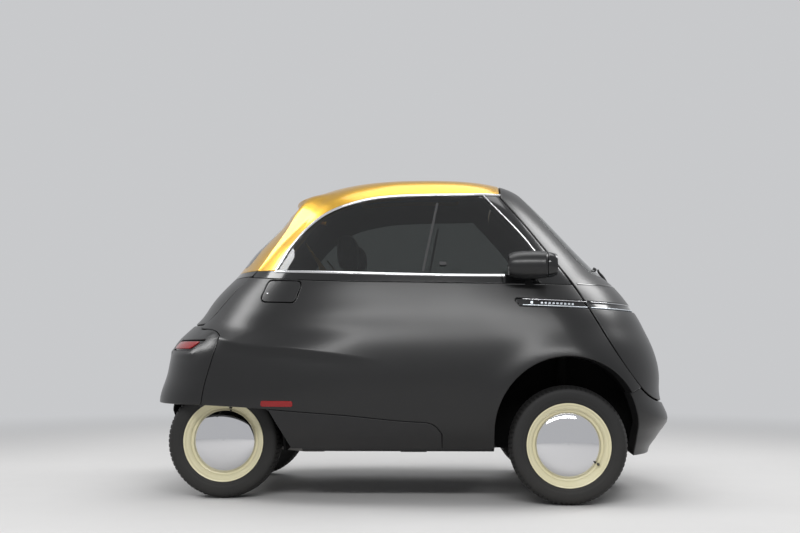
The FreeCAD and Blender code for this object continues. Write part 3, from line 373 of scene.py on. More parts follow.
def makeFinish(name, v):
    material = bpy.data.materials.new(name)
    material.use_nodes = True
    tree = material.node_tree
    shader = tree.nodes["Principled BSDF"]
    for key, label in (("roughness", "Roughness"), ("metallic", "Metallic"), ("coat", "Coat Weight"),
                       ("sheen", "Sheen Weight"),
                       ("coatRoughness", "Coat Roughness"), ("specular", "Specular IOR Level"),
                       ("transmission", "Transmission Weight"), ("ior", "IOR")):
        if key in v:
            shader.inputs[label].default_value = v[key]
    shader.inputs["Base Color"].default_value = (*v["colour"], 1)
    colour, roughness = None, v["roughness"]
    if "flake" in v or "weave" in v:
        group = groups["flake" if "flake" in v else "weave"]
        node = put(tree, "ShaderNodeGroup", settings={"node_tree": group}, Colour=(*v["colour"], 1))
        node.inputs[1].default_value = (*v.get("flake", v.get("weave")), 1)
        colour = node.outputs["Colour"]
        tree.links.new(node.outputs["Normal"], shader.inputs["Normal"])
    elif "other" in v:
        scale, height, depth = v["grain"]
        node = put(tree, "ShaderNodeGroup", settings={"node_tree": groups["tone"]}, Colour=(*v["colour"], 1),
                   Roughness=v["roughness"])
        node.inputs["Other Colour"].default_value = (*v["other"], 1)
        node.inputs["Roughness Drift"].default_value = v["drift"]
        node.inputs["Grain Scale"].default_value, node.inputs["Grain Height"].default_value = scale, height
        node.inputs["Grain Depth"].default_value = depth
        colour, roughness = node.outputs["Colour"], node.outputs["Roughness"]
        tree.links.new(node.outputs["Normal"], shader.inputs["Normal"])
    if "dust" in v:
        node = put(tree, "ShaderNodeGroup", {"Colour": colour, "Roughness": roughness},
                   {"node_tree": groups["dust"]})
        node.inputs["Top"].default_value, node.inputs["Amount"].default_value = v["dust"]
        colour, roughness = node.outputs["Colour"], node.outputs["Roughness"]
    if colour:
        tree.links.new(colour, shader.inputs["Base Color"])
    if not isinstance(roughness, float):
        tree.links.new(roughness, shader.inputs["Roughness"])
    return material


materials = {name: makeFinish(name, v) for name, v in finishValues.items()}
# wheel housings and front strut take the arch's painted shade in place of their own finishes
nodeFinish = dict(wheel_housings="arch_painted_shade", front_suspension="arch_painted_shade")
slotOf = {row["node"]: row["material_slot"] for row in frame["record"]["subparts"]}
for name, node in nodes.items():
    node.data.materials.clear()
    node.data.materials.append(materials[nodeFinish.get(name, slotOf[name])])
print("finishes made:", len(materials))


# curves drawn on the body: points in a side or end view, carried onto the surface
def smoothLine(points, step=0.006):
    # spline through points given in mm, by its chord lengths, at even steps in metres
    points = np.array(points, float) / 1000
    along = np.concatenate([[0], np.cumsum(np.linalg.norm(np.diff(points, axis=0), axis=1))])
    return splineMatrix(along, np.linspace(0, along[-1], max(int(along[-1] / step), 2))) @ points


def straightLine(points, step=0.006):
    points = np.array(points, float) / 1000
    runs = [a + (b - a) * np.linspace(0, 1, max(int(np.linalg.norm(b - a) / step), 1), endpoint=False)[:,
            None]
            for a, b in zip(points[:-1], points[1:])]
    return np.concatenate([*runs, points[-1:]])


def movedLine(line, away):
    # the line moved sideways, to the left of its own direction, by that many metres
    ahead = np.gradient(line, axis=0)
    ahead /= np.linalg.norm(ahead, axis=1, keepdims=True)
    return line + away * np.stack([-ahead[:, 1], ahead[:, 0]], 1)


def arcLine(x, z, radius, fromDegrees, toDegrees):
    angle = np.radians(np.linspace(fromDegrees, toDegrees,
                                   int(abs(toDegrees - fromDegrees) * radius / 340) + 2))
    return np.stack([x + radius * np.cos(angle), z + radius * np.sin(angle)], 1) / 1000


def onSide(body, line, side=-1):
    # side view (x, z) to shares of the way round and up; side -1 is the right, y below 0
    table, heights = body["table"], body["height"]
    middle = table.shape[1] // 2
    rise = np.interp(line[:, 1], heights, body["rise"])
    index = np.clip(rise / body["rise"][1], 0, len(heights) - 1.001)
    low = index.astype(int)
    part = (index - low)[:, None]
    xs = table[low, middle:, 0] * (1 - part) + table[low + 1, middle:, 0] * part
    share = np.array([np.interp(-x, -row, np.linspace(0, 1, len(row))) for x, row in zip(line[:, 0], xs)])
    return np.stack([share if side < 0 else -share, rise], 1)


def onEnd(body, line, rear):
    # end view (y, z) to shares; rear looks at the tail, otherwise at the nose
    table, heights = body["table"], body["height"]
    middle = table.shape[1] // 2
    rise = np.interp(line[:, 1], heights, body["rise"])
    index = np.clip(rise / body["rise"][1], 0, len(heights) - 1.001)
    low = index.astype(int)
    part = (index - low)[:, None]
    ys = -(table[low, middle:, 1] * (1 - part) + table[low + 1, middle:, 1] * part)
    shares = np.linspace(0, 1, ys.shape[1])
    found = []
    for y, row in zip(line[:, 0], ys):
        widest = int(row.argmax())
        if rear:
            share = np.interp(abs(y), row[widest:][::-1], shares[widest:][::-1])
        else:
            share = np.interp(abs(y), row[:widest + 1], shares[:widest + 1])
        found.append(share if y <= 0 else -share)
    return np.stack([np.array(found), rise], 1)


def flipped(params):
    return params * [-1, 1]


# trimmed panels: a body surface inside an outline, with a rounded lip, its wall and its inner face
def chartOf(body, kind):
    # flat maps of the body: round the nose, round the tail (share 1 in the middle), or a fan from the top
    half, top = body["half"], body["rise"][-1]
    if kind == "nose":
        return (lambda p: np.stack([p[:, 0] * half, p[:, 1]], 1),
                lambda q: np.stack([q[:, 0] / half, q[:, 1]], 1))
    if kind == "tail":
        return (lambda p: np.stack([(p[:, 0] % 2 - 1) * half, p[:, 1]], 1),
                lambda q: np.stack([q[:, 0] / half + 1, q[:, 1]], 1))
    hub = 0.07

    def toChart(p):
        reach, angle = top - p[:, 1] + hub, p[:, 0] * math.pi
        return np.stack([reach * np.cos(angle), reach * np.sin(angle)], 1)

    def fromChart(q):
        return np.stack([np.arctan2(q[:, 1], q[:, 0]) / math.pi, top + hub - np.hypot(q[:, 0], q[:, 1])], 1)
    return toChart, fromChart


def evenly(body, maps, run, step):
    # the run of shares re-spaced at even steps of real length, its ends kept
    toChart, fromChart = maps
    flat = toChart(run)
    place = surfaceAt(body, run[:, 0], run[:, 1])[0]
    along = np.concatenate([[0], np.cumsum(np.linalg.norm(np.diff(place, axis=0), axis=1))])
    want = np.linspace(0, along[-1], max(int(round(along[-1] / step)), 1) + 1)
    return np.stack([np.interp(want, along, flat[:, k]) for k in (0, 1)], 1)


def reliefFrom(height, reach=.002):
    # raises the surface by height(point) along its normal and turns the normal by the height's slope
    def relief(point, normal):
        slope = np.stack([(height(point + move) - height(point - move)) / (2 * reach) for move in np.eye(3)
                          * reach], 1)
        slope -= normal * (slope * normal).sum(1)[:, None]
        turned = normal - slope
        return point + normal * height(point)[:, None], turned / np.linalg.norm(turned, axis=1, keepdims=True)
    return relief


def smoothStep(value, low, high):
    part = np.clip((value - low) / (high - low), 0, 1)
    return part * part * (3 - 2 * part)


def insideLoops(points, loops):
    inside = np.zeros(len(points), bool)
    for loop in loops:
        a, b = loop, np.roll(loop, -1, axis=0)
        for part in range(0, len(points), 4000):
            p = points[part:part + 4000]
            crosses = (a[None, :, 1] > p[:, None, 1]) != (b[None, :, 1] > p[:, None, 1])
            rise = np.where(np.abs(b[:, 1] - a[:, 1]) < 1e-12, 1e-12, b[:, 1] - a[:, 1])
            x = a[None, :, 0] + (p[:, None, 1] - a[None, :, 1]) / rise[None] * (b - a)[None, :, 0]
            inside[part:part + 4000] ^= (crosses & (x > p[:, None, 0])).sum(1) % 2 == 1
    return inside


def clearOf(points, loops, distance):
    keep = np.ones(len(points), bool)
    for loop in loops:
        for part in range(0, len(points), 4000):
            p = points[part:part + 4000]
            gap = np.sqrt(((p[:, None] - loop[None]) ** 2).sum(2)).min(1)
            keep[part:part + 4000] &= gap > distance
    return keep


def makeObject(name, points, faces, smooth=True, finishes=(), faceFinish=None):
    mesh = bpy.data.meshes.new(name)
    mesh.from_pydata(np.asarray(points, float).tolist(), [],
            [tuple(f) for f in np.asarray(faces).tolist()] if isinstance(faces, np.ndarray) else faces)
    for finish in finishes:
        mesh.materials.append(materials[finish])
    if faceFinish is not None:
        mesh.polygons.foreach_set("material_index", np.asarray(faceFinish, np.int32))
    mesh.polygons.foreach_set("use_smooth", np.full(len(mesh.polygons), smooth))
    mesh.update()
    made = bpy.data.objects.new(name, mesh)
    bpy.context.scene.collection.objects.link(made)
    return made


def trimmedPanel(name, body, chart, outline, holes=(), wall=0.045, lip=0.005, step=0.008, grid=0.022,
                 relief=None,
                 finishes=("body_black", "dark_plastic"), lifted=0.0, gap=0.0, creases=()):
    # the body surface inside the outline, sunk near the rim by a quarter round of the lip's radius
    maps = chartOf(body, chart)
    toChart, fromChart = maps
    probe = np.array([outline[0][0]])
    side = []
    for shift in ([0, 0], [1e-3, 0], [0, 1e-3]):
        flat = fromChart(toChart(probe) + shift)
        side.append(surfaceAt(body, flat[:, 0], flat[:, 1]))
    handed = np.sign(np.cross(side[1][0] - side[0][0], side[2][0] - side[0][0])[0] @ side[0][1][0])
    loops = []
    for number, runs in enumerate([outline, *holes]):
        loop = np.concatenate([evenly(body, maps, run, step)[:-1] for run in runs])
        area = (loop[:, 0] * np.roll(loop[:, 1], -1) - loop[:, 1] * np.roll(loop[:, 0], -1)).sum()
        if np.sign(area) * handed != (1 if number == 0 else -1):
            loop = loop[::-1]
        loops.append(loop)

    def place(flat):
        share = fromChart(flat)
        point, normal = surfaceAt(body, share[:, 0], share[:, 1])
        point = point + normal * lifted
        return relief(point, normal) if relief else (point, normal)

    def shrunk(flat, inset):
        point, normal = place(flat)
        ahead = np.roll(point, -1, axis=0) - point
        ahead /= np.linalg.norm(ahead, axis=1, keepdims=True)
        into = np.cross(normal, ahead)
        before = np.roll(into, 1, axis=0)
        joined = (into + before) / np.maximum(1 + (into * before).sum(1), 0.35)[:, None]
        small = 1e-4
        columns = [(place(flat + np.array(move) * small)[0] - point) / small for move in ((1, 0), (0, 1))]
        a, b = (columns[0] ** 2).sum(1), (columns[0] * columns[1]).sum(1)
        c = (columns[1] ** 2).sum(1)
        p, q = (columns[0] * joined).sum(1), (columns[1] * joined).sum(1)
        fall = np.maximum(a * c - b * b, 1e-12)
        return flat + inset * np.stack([(c * p - b * q) / fall, (a * q - b * p) / fall], 1), joined

    bends = np.radians([0, 30, 60, 90]) if lip > 0 else np.radians([0])
    innerLoops, rings = [], []
    for loop in loops:
        loop = shrunk(loop, gap)[0] if gap else loop
        ring = [(shrunk(loop, lip * (1 - math.cos(bend)))) for bend in bends]
        rings.append(ring)
        innerLoops.append(ring[-1][0])
    low, high = np.concatenate(innerLoops).min(0), np.concatenate(innerLoops).max(0)
    mesh = np.stack(np.meshgrid(np.arange(low[0], high[0], grid), np.arange(low[1], high[1], grid)),
                    -1).reshape(-1, 2)
    mesh[:, 0] += (np.round((mesh[:, 1] - low[1]) / grid) % 2) * grid / 2
    mesh = mesh[insideLoops(mesh, innerLoops)]
    folds = [evenly(body, maps, run, step) for run in creases]
    folds = [fold[insideLoops(fold, innerLoops) & clearOf(fold, innerLoops, step * .6)] for fold in folds]
    mesh = mesh[clearOf(mesh, innerLoops + folds, grid * 0.45)]
    flat = np.concatenate([*innerLoops, *folds, mesh])
    edges, start = [], 0
    for loop in innerLoops:
        n = len(loop)
        edges += [(start + i, start + (i + 1) % n) for i in range(n)]
        start += n
    for fold in folds:
        edges += [(start + i, start + i + 1) for i in range(len(fold) - 1)]
        start += len(fold)
    made = delaunay_2d_cdt([Vector(p) for p in flat.tolist()], edges, [], 1, 1e-6)
    vertices = np.array([tuple(v) for v in made[0]])
    triangles = np.array([f for f in made[2] if len(f) == 3])
    triangles = triangles[insideLoops(vertices[triangles].mean(1), innerLoops)]
    if handed < 0:
        triangles = triangles[:, ::-1]
    corner = vertices[triangles]
    turn = np.cross(corner[:, 1] - corner[:, 0], corner[:, 2] - corner[:, 0])
    triangles[turn * handed < 0] = triangles[turn * handed < 0][:, ::-1]
    lookup = {i: k for k, ids in enumerate(made[3]) for i in ids}
    top, topNormal = place(vertices)
    outer, outerNormal, depth = [top], [topNormal], [np.zeros(len(top))]
    quads, base, at = [], len(top), 0
    rimRings = []
    for ring, inner in zip(rings, innerLoops):
        n = len(inner)
        last = np.array([lookup[at + i] for i in range(n)])
        at += n
        ids = []
        for bend, (ringFlat, into) in zip(bends[:-1], ring[:-1]):
            point, normal = place(ringFlat)
            outer.append(point - normal * lip * (1 - math.sin(bend)))
            lean = normal * math.sin(bend) - into / np.linalg.norm(into, axis=1,
                    keepdims=True) * math.cos(bend)
            outerNormal.append(lean)
            depth.append(np.full(n, lip * (1 - math.sin(bend))))
            ids.append(base + np.arange(n))
            base += n
        ids.append(last)
        following = np.roll(np.arange(n), -1)
        for a, b in zip(ids[:-1], ids[1:]):
            quads.append(np.stack([a, a[following], b[following], b], 1))
        rimRings.append(ids[0])
    outer, outerNormal, depth = np.concatenate(outer), np.concatenate(outerNormal), np.concatenate(depth)
    surfaceNormal = [topNormal]
    for ring in rings:
        for ringFlat, _ in ring[:-1]:
            surfaceNormal.append(place(ringFlat)[1])
    surfaceNormal = np.concatenate(surfaceNormal)
    inner = outer - surfaceNormal * (wall - depth)[:, None]
    count = len(outer)
    allFaces = [tuple(f) for f in triangles.tolist()]
    for q in quads:
        allFaces += [tuple(f) for f in q.tolist()]
    frontCount = len(allFaces)
    allFaces += [tuple(i + count for i in f[::-1]) for f in allFaces[:frontCount]]
    for rim in rimRings:
        following = np.roll(rim, -1)
        allFaces += [tuple(f) for f in np.stack([rim + count, following + count, following, rim], 1).tolist()]
    points = np.concatenate([outer, inner])
    kind = np.zeros(len(allFaces), np.int32)
    kind[frontCount:2 * frontCount] = len(finishes) - 1
    made = makeObject(name, points, allFaces, True, finishes, kind)
    mesh = made.data
    loopVertex = np.zeros(len(mesh.loops), np.int32)
    mesh.loops.foreach_get("vertex_index", loopVertex)
    totals = np.zeros(len(mesh.polygons), np.int32)
    mesh.polygons.foreach_get("loop_total", totals)
    faceOfLoop = np.repeat(np.arange(len(totals)), totals)
    group = np.zeros(len(allFaces), int)
    group[frontCount:2 * frontCount] = 1
    group[2 * frontCount:] = 2
    source = loopVertex % count
    loopGroup = group[faceOfLoop]
    outward = outerNormal
    loopNormal = np.where((loopGroup == 1)[:, None], -surfaceNormal[source], outward[source])
    mesh.normals_split_custom_set(loopNormal.tolist())
    return made


def atPlane(body, x, shares):
    # where the surface crosses the plane at that x, for each share near the nose, above the belt
    table, heights = body["table"], body["height"]
    use = heights > 1.0
    column = (np.asarray(shares) + 1) / 2 * (table.shape[1] - 1)
    low = np.floor(column).astype(int)
    part = column - low
    xs = table[use][:, low, 0] * (1 - part) + table[use][:, low + 1, 0] * part
    rise = np.array([np.interp(-x, -xs[:, k], body["rise"][use]) for k in range(len(low))])
    return np.stack([np.asarray(shares, float), rise], 1)


def atHeight(body, z, shares):
    rise = np.interp(z, body["height"], body["rise"]) * np.ones(len(shares))
    return np.stack([np.asarray(shares, float), rise], 1)


def onPlan(body, line, centre=0.045):
    # plan view (x, y) near the top, by angle and reach about the top's middle
    table, rise = body["table"], body["rise"]
    rows = np.nonzero(body["height"] > 1.38)[0]
    angle = np.arctan2(line[:, 1], line[:, 0] - centre)
    reach = np.hypot(line[:, 0] - centre, line[:, 1])
    shares = np.linspace(1, -1, table.shape[1])
    reaches, around = [], []
    for row in table[rows, ::-1]:
        own = np.arctan2(row[:, 1], row[:, 0] - centre)
        own[0], own[-1] = -math.pi, math.pi
        reaches.append(np.interp(angle, own, np.hypot(row[:, 0] - centre, row[:, 1])))
        around.append(np.interp(angle, own, shares))
    reaches, around = np.array(reaches), np.array(around)
    found = [(np.interp(-reach[k], -reaches[:, k], np.arange(len(rows)))) for k in range(len(line))]
    found = np.array(found)
    low = np.clip(found.astype(int), 0, len(rows) - 2)
    part = found - low
    k = np.arange(len(line))
    share = around[low, k] * (1 - part) + around[low + 1, k] * part
    return np.stack([share, rise[rows][low] * (1 - part) + rise[rows][low + 1] * part], 1)


def crossing(a, b):
    # first point where two drawn lines cross
    p, r = a[:-1], np.diff(a, axis=0)
    q, s = b[:-1], np.diff(b, axis=0)
    det = r[:, None, 0] * s[None, :, 1] - r[:, None, 1] * s[None, :, 0]
    det[np.abs(det) < 1e-15] = 1e-15
    gap = q[None] - p[:, None]
    t = (gap[..., 0] * s[None, :, 1] - gap[..., 1] * s[None, :, 0]) / det
    u = (gap[..., 0] * r[:, None, 1] - gap[..., 1] * r[:, None, 0]) / det
    hit = np.argwhere((t >= 0) & (t <= 1) & (u >= 0) & (u <= 1))
    i = hit[0][0]
    return p[i] + r[i] * t[tuple(hit[0])]


def between(line, start, end):
    # the part of a drawn line from one point on it to another, in that order
    along = np.concatenate([[0], np.cumsum(np.linalg.norm(np.diff(line, axis=0), axis=1))])

    def where(point):
        a, d = line[:-1], np.diff(line, axis=0)
        t = np.clip(((point - a) * d).sum(1) / np.maximum((d ** 2).sum(1), 1e-18), 0, 1)
        k = np.linalg.norm(a + d * t[:, None] - point, axis=1).argmin()
        return along[k] + t[k] * (along[k + 1] - along[k])
    s, e = where(np.asarray(start)), where(np.asarray(end))
    middle = line[(along > min(s, e) + 1e-4) & (along < max(s, e) - 1e-4)]
    if s > e:
        middle = middle[::-1]
    return np.concatenate([[start], middle, [end]])


def rounded(corners, radius):
    # closed outline of straight sides with its corners rounded, as runs between the corners' arcs
    corners = np.array(corners, float)
    line = []
    for before, corner, after in zip(np.roll(corners, 1, axis=0), corners, np.roll(corners, -1, axis=0)):
        a, b = before - corner, after - corner
        la, lb = np.linalg.norm(a), np.linalg.norm(b)
        cut = min(radius / math.tan(math.acos(np.clip(a @ b / la / lb, -1, 1)) / 2), la * .45, lb * .45)
        p, q = corner + a / la * cut, corner + b / lb * cut
        t = np.linspace(0, 1, 9)[:, None]
        line.append((1 - t) ** 2 * p + 2 * t * (1 - t) * corner + t ** 2 * q)
    line = np.concatenate(line)
    dense = []
    for a, b in zip(line, np.roll(line, -1, axis=0)):
        n = max(int(np.linalg.norm(b - a) / 6), 1)
        dense.append(a + (b - a) * np.linspace(0, 1, n, endpoint=False)[:, None])
    return np.concatenate([*dense, line[:1]]) / 1000


# lines of the car's panels, in side view (x, z) or end view (y, z), in mm
panelLines = dict(
    doorSeam=[(412, 1396), (500, 1290), (596, 1167), (720, 999), (848, 782), (985, 564), (1100, 464),
              (1200, 440)],
    belt=[(-1000, 1045), (-825, 1029), (-510, 1001), (-54, 988), (396, 980), (1300, 984)],
    glassSill=[(-700, 1052), (-281, 1036), (397, 1022), (760, 1026)],
    drip=[(-690, 975), (-637, 1054), (-592, 1135), (-525, 1225), (-420, 1311), (-296, 1361), (-176, 1387),
          (-70, 1397),
          (172, 1403), (440, 1410)],
    windowFront=[(300, 1424), (337, 1381), (542, 1145), (620, 1010)],
    fenderEdge=[(-975, 431), (-668, 418), (-499, 406), (-275, 389), (24, 362), (95, 348), (130, 307)],
    sillRear=[(-645, 420), (-594, 332), (-539, 230)],
    tailSeam=[(-882, 742), (-903, 672), (-927, 591), (-946, 522), (-962, 431)],
    tailSeamTop=[(-882, 742), (-897, 757), (-975, 776), (-1070, 800)],
    bumperSeam=[(1060, 530), (969, 492), (900, 420)],
    hatchEdge=[(-400, 806), (-425, 1030), (-345, 1385)],
    flap=[(-666, 1000), (-503, 993), (-537, 897), (-704, 904)],
    slotTop=[(466, 913), (800, 901), (1300, 886)],
    slotLow=[(482, 879), (800, 868), (1300, 853)],
    slotTip=[(466, 913), (459, 905), (482, 879)])
# heights in metres where panels end
doorBottom, doorBottomGap, tailBottom = 0.4405, 0.434, 0.431
bodyBottom, sillBottom, hatchTop = 0.1955, 0.240, 1.385
archForm = dict(x=688, z=329, radius=323)
doorSeam = smoothLine(panelLines["doorSeam"])
doorBehind = movedLine(doorSeam, -0.006)
doorBehind = np.concatenate([[[0.406, 1.394]], doorBehind[doorBehind[:, 1] < 1.39]])
belt, glassSill, drip = (smoothLine(panelLines[k]) for k in ("belt", "glassSill", "drip"))
windowFront = smoothLine(panelLines["windowFront"])
fenderEdge = smoothLine(panelLines["fenderEdge"])
archCircle = arcLine(archForm["x"], archForm["z"], archForm["radius"], 0, 180)
bumperSeam = straightLine(panelLines["bumperSeam"])
archFront = (archForm["x"] + archForm["radius"]) / 1000
slotTop, slotLow = smoothLine(panelLines["slotTop"]), smoothLine(panelLines["slotLow"])

beltFront = crossing(belt, doorBehind)
seamLow = crossing(doorBehind, bumperSeam)
archStart = crossing(bumperSeam, archCircle)
slotUpper, slotLower = crossing(slotTop, doorBehind), crossing(slotLow, doorBehind)
hatchCorner = onEnd(lowerBody, np.array([[-0.4310, 1.0298]]), True)[0]
tailCorner = onEnd(lowerBody, np.array([[-0.4060, 0.8000]]), True)[0]


def sideOutline(side):
    # the lower side, from the belt's front end down the door seam, round the arch, the fender and the tail
    seamTail = onSide(lowerBody, smoothLine(panelLines["tailSeamTop"]))
    seamTail = seamTail[seamTail[:, 0] < tailCorner[0]]
    beltRun = onSide(lowerBody, belt)
    beltRun = beltRun[(beltRun[:, 0] < hatchCorner[0]) & (belt[:, 0] < beltFront[0])]
    edge = smoothLine(panelLines["hatchEdge"][:2])
    edge[:, 0] -= 0.006
    edgeRun = onEnd(lowerBody, edge[(edge[:, 1] > 0.802) & (edge[:, 1] < 1.028)], True)
    runs = [
        onSide(lowerBody, between(doorBehind, beltFront, slotUpper)),
        onSide(lowerBody, between(slotTop, slotUpper, slotTop[0])),
        onSide(lowerBody, straightLine(panelLines["slotTip"])),
        onSide(lowerBody, between(slotLow, slotLow[0], slotLower)),
        onSide(lowerBody, between(doorBehind, slotLower, seamLow)),
        onSide(lowerBody, between(bumperSeam, seamLow, archStart)),
        onSide(lowerBody, between(archCircle, archStart, archCircle[-1])),
        onSide(lowerBody, straightLine([(365, 329), (365, sillBottom * 1000)])),
        onSide(lowerBody, straightLine([(365, sillBottom * 1000), (130, sillBottom * 1000)])),
        onSide(lowerBody, straightLine([(130, sillBottom * 1000), (130, 307)])),
        onSide(lowerBody, fenderEdge[::-1]),
        onSide(lowerBody, smoothLine(panelLines["tailSeam"])[::-1]),
        np.concatenate([seamTail, [tailCorner]]),
        np.concatenate([[tailCorner], edgeRun, [hatchCorner]]),
        np.concatenate([[hatchCorner], beltRun, onSide(lowerBody, beltFront[None])])]
    return runs if side < 0 else [flipped(r) for r in runs]


def across(run):
    # a run on the right carried on to its mirror image on the left, through the nose
    return np.concatenate([run, flipped(run)[::-1]])


def tailFlip(run):
    return np.stack([2 - run[::-1, 0], run[::-1, 1]], 1)


def noseRun(body, line, first):
    # a side view line carried from the point first round the nose to its mirror image
    start = onSide(body, first[None])[0]
    shares = np.linspace(start[0], 0, 60)
    heights = np.full(60, first[1])
    for _ in range(4):
        rise = np.interp(heights, body["height"], body["rise"])
        heights = np.interp(surfaceAt(body, shares, rise)[0][:, 0], line[:, 0], line[:, 1])
    rise = np.interp(heights, body["height"], body["rise"])
    return across(np.stack([shares, rise], 1)[:-1])


# what all the body panels share, in metres
panelForm = dict(wall=.042, roofWall=.034, lip=.0045, gap=.0012, glass=.0055)


def placed(piece, body, finish, *replaced):
    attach(piece, body)
    if replaced:
        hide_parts(*replaced)
    return piece


def flapLoop():
    return onSide(lowerBody, rounded(panelLines["flap"], 24))


sideForm = dict(crease=[(-960, 759), (-823, 713), (-600, 691), (-379, 668), (-244, 650), (-98, 628)],
                creaseHeight=.010,
                above=.13, below=.05, fade=(-.10, -.55), flare=.013, flareWidth=.07)
creaseLine = smoothLine(sideForm["crease"])


def sideHeight(point):
    # shoulder crease that fades forwards, plus a lip round the front arch that falls off by a bell curve
    x, z = point[:, 0], point[:, 2]
    above = z - np.interp(x, creaseLine[:, 0], creaseLine[:, 1])
    shape = np.where(above > 0, np.clip(1 - above / sideForm["above"], 0, 1) ** 2,
                     np.clip(1 + above / sideForm["below"], 0, 1) ** 2)
    crease = sideForm["creaseHeight"] * shape * smoothStep(-x, -sideForm["fade"][0], -sideForm["fade"][1])
    crease *= smoothStep(-x, 1.1, 1.0)
    ahead, up = x - archForm["x"] / 1000, z - archForm["z"] / 1000
    away = np.hypot(ahead, up) - archForm["radius"] / 1000
    flare = sideForm["flare"] * np.exp(-(away / sideForm["flareWidth"]) ** 2) * smoothStep(up, -.02, .12)
    return crease + flare * (away > -.02)


sideRelief = reliefFrom(sideHeight)
creaseBelow = creaseLine - [0, .008]
creaseRuns = [onSide(lowerBody, creaseLine), onSide(lowerBody, creaseBelow),
              onSide(lowerBody, creaseLine + [0, .008])]

for side, name in ((-1, "right"), (1, "left")):
    holes = []
    if side < 0:
        grown = np.array(panelLines["flap"], float)
        grown = (grown - grown.mean(0)) * [1.035, 1.055] + grown.mean(0)
        holes = [[onSide(lowerBody, rounded(grown, 27))]]
    piece = trimmedPanel("sideLower_" + name, lowerBody, "nose", sideOutline(side), holes,
                         wall=panelForm["wall"],
                         lip=panelForm["lip"], gap=panelForm["gap"], finishes=("body_black", "inner_trim"),
                         relief=sideRelief,
                         creases=[run if side < 0 else flipped(run) for run in creaseRuns])
    placed(piece, "chassis", "body_black", "side_panel_" + name)

seamRise = onSide(frontBody, doorSeam)
doorTop = atPlane(frontBody, 0.412, np.linspace(seamRise[0, 0], -seamRise[0, 0], 60))
slotOnDoor = crossing(slotTop, doorSeam), crossing(slotLow, doorSeam)
upperSeam = onSide(frontBody, between(doorSeam, doorSeam[0], slotOnDoor[0]))
lowerSeam = onSide(frontBody, between(doorSeam, slotOnDoor[1], doorSeam[doorSeam[:, 1] > doorBottom][-1]))
screen = np.array([(-400, 1030), (-385, 1143), (-350, 1279), (-295, 1390), (-240, 1438)], float)
screen = np.concatenate([screen, (screen * [-1, 1])[::-1]])
screenLoop = onEnd(frontBody, rounded(screen, 60), False)
doorUpper = trimmedPanel("doorUpper", frontBody, "nose", [
    upperSeam, noseRun(frontBody, slotTop, slotOnDoor[0]), flipped(upperSeam)[::-1], doorTop[::-1]],
    [[screenLoop]], wall=.04, lip=panelForm["lip"], finishes=("body_black", "inner_trim"))
placed(doorUpper, "front_door", "body_black", "front_door")
foot = lowerSeam[-1]
doorLower = trimmedPanel("doorLower", frontBody, "nose", [
    lowerSeam, atHeight(frontBody, doorBottom, np.linspace(foot[0], -foot[0], 60)), flipped(lowerSeam)[::-1],
    noseRun(frontBody, slotLow, slotOnDoor[1])[::-1]], wall=.042, lip=panelForm["lip"],
    finishes=("body_black", "inner_trim"))
placed(doorLower, "front_door", "body_black")
print("door and sides built")

# roof, greenhouse, hatch, tail, bumper and sills
roofForm = dict(sunroof=[(-300, -290), (230, -290), (230, 290), (-300, 290)], corner=70, hatchGap=.006,
                spoiler=.022, spoilerTop=1.452, spoilerHalf=.40)
dripFront = crossing(drip, straightLine([(406, 1300), (406, 1500)]))
glassFront, glassRear = crossing(windowFront, glassSill), crossing(drip, glassSill)
windowTop = crossing(drip, windowFront)
seamTop = between(doorBehind, beltFront, doorBehind[0])
bandLine = straightLine([glassRear * 1000, (-900, 1058)])
hatchGrown = smoothLine(panelLines["hatchEdge"])
hatchGrown[:, 0] -= roofForm["hatchGap"]
hatchHead = hatchTop + roofForm["hatchGap"]
bandEnd = onEnd(upperBody, np.array([[np.interp(1.0565, hatchGrown[:, 1], hatchGrown[:, 0]), 1.0565]]), True)
beltEnd = onEnd(upperBody, np.array([[np.interp(1.0298, hatchGrown[:, 1], hatchGrown[:, 0]), 1.0298]]), True)
hatchSide = np.concatenate([bandEnd, onEnd(upperBody, hatchGrown[hatchGrown[:, 1] > 1.058], True),
                            onEnd(upperBody, np.array([[-.351, hatchHead]]), True)])


def untilShare(run, end):
    # the part of a run that stays in front of the end point's share, closed by the end point
    return np.concatenate([run[run[:, 0] < end[0, 0] - .001], end])


roofFront = atPlane(upperBody, .406, np.linspace(onSide(upperBody, dripFront[None])[0, 0], 0, 40))
bandRun = untilShare(onSide(upperBody, bandLine), bandEnd)
roofHalf = [np.concatenate([roofFront[::-1][:-1], onSide(upperBody, dripFront[None])]),
            onSide(upperBody, between(drip, dripFront, glassRear)), bandRun, hatchSide,
            atHeight(upperBody, hatchHead, np.linspace(hatchSide[-1, 0], 1, 30))]
roofLoop = roofHalf + [flipped(r)[::-1] for r in roofHalf[::-1]]
sunroofLine = rounded(roofForm["sunroof"], roofForm["corner"])


def spoilerHeight(point):
    # lip over the hatch: rises towards the roof's rear edge, rounded off at its two ends
    x, y, z = point.T
    rise = smoothStep(-z, -roofForm["spoilerTop"], -hatchHead) ** 1.5 * (x < 0)
    return roofForm["spoiler"] * rise * smoothStep(-np.abs(y), -roofForm["spoilerHalf"] - .05,
                                                   -roofForm["spoilerHalf"] + .04)


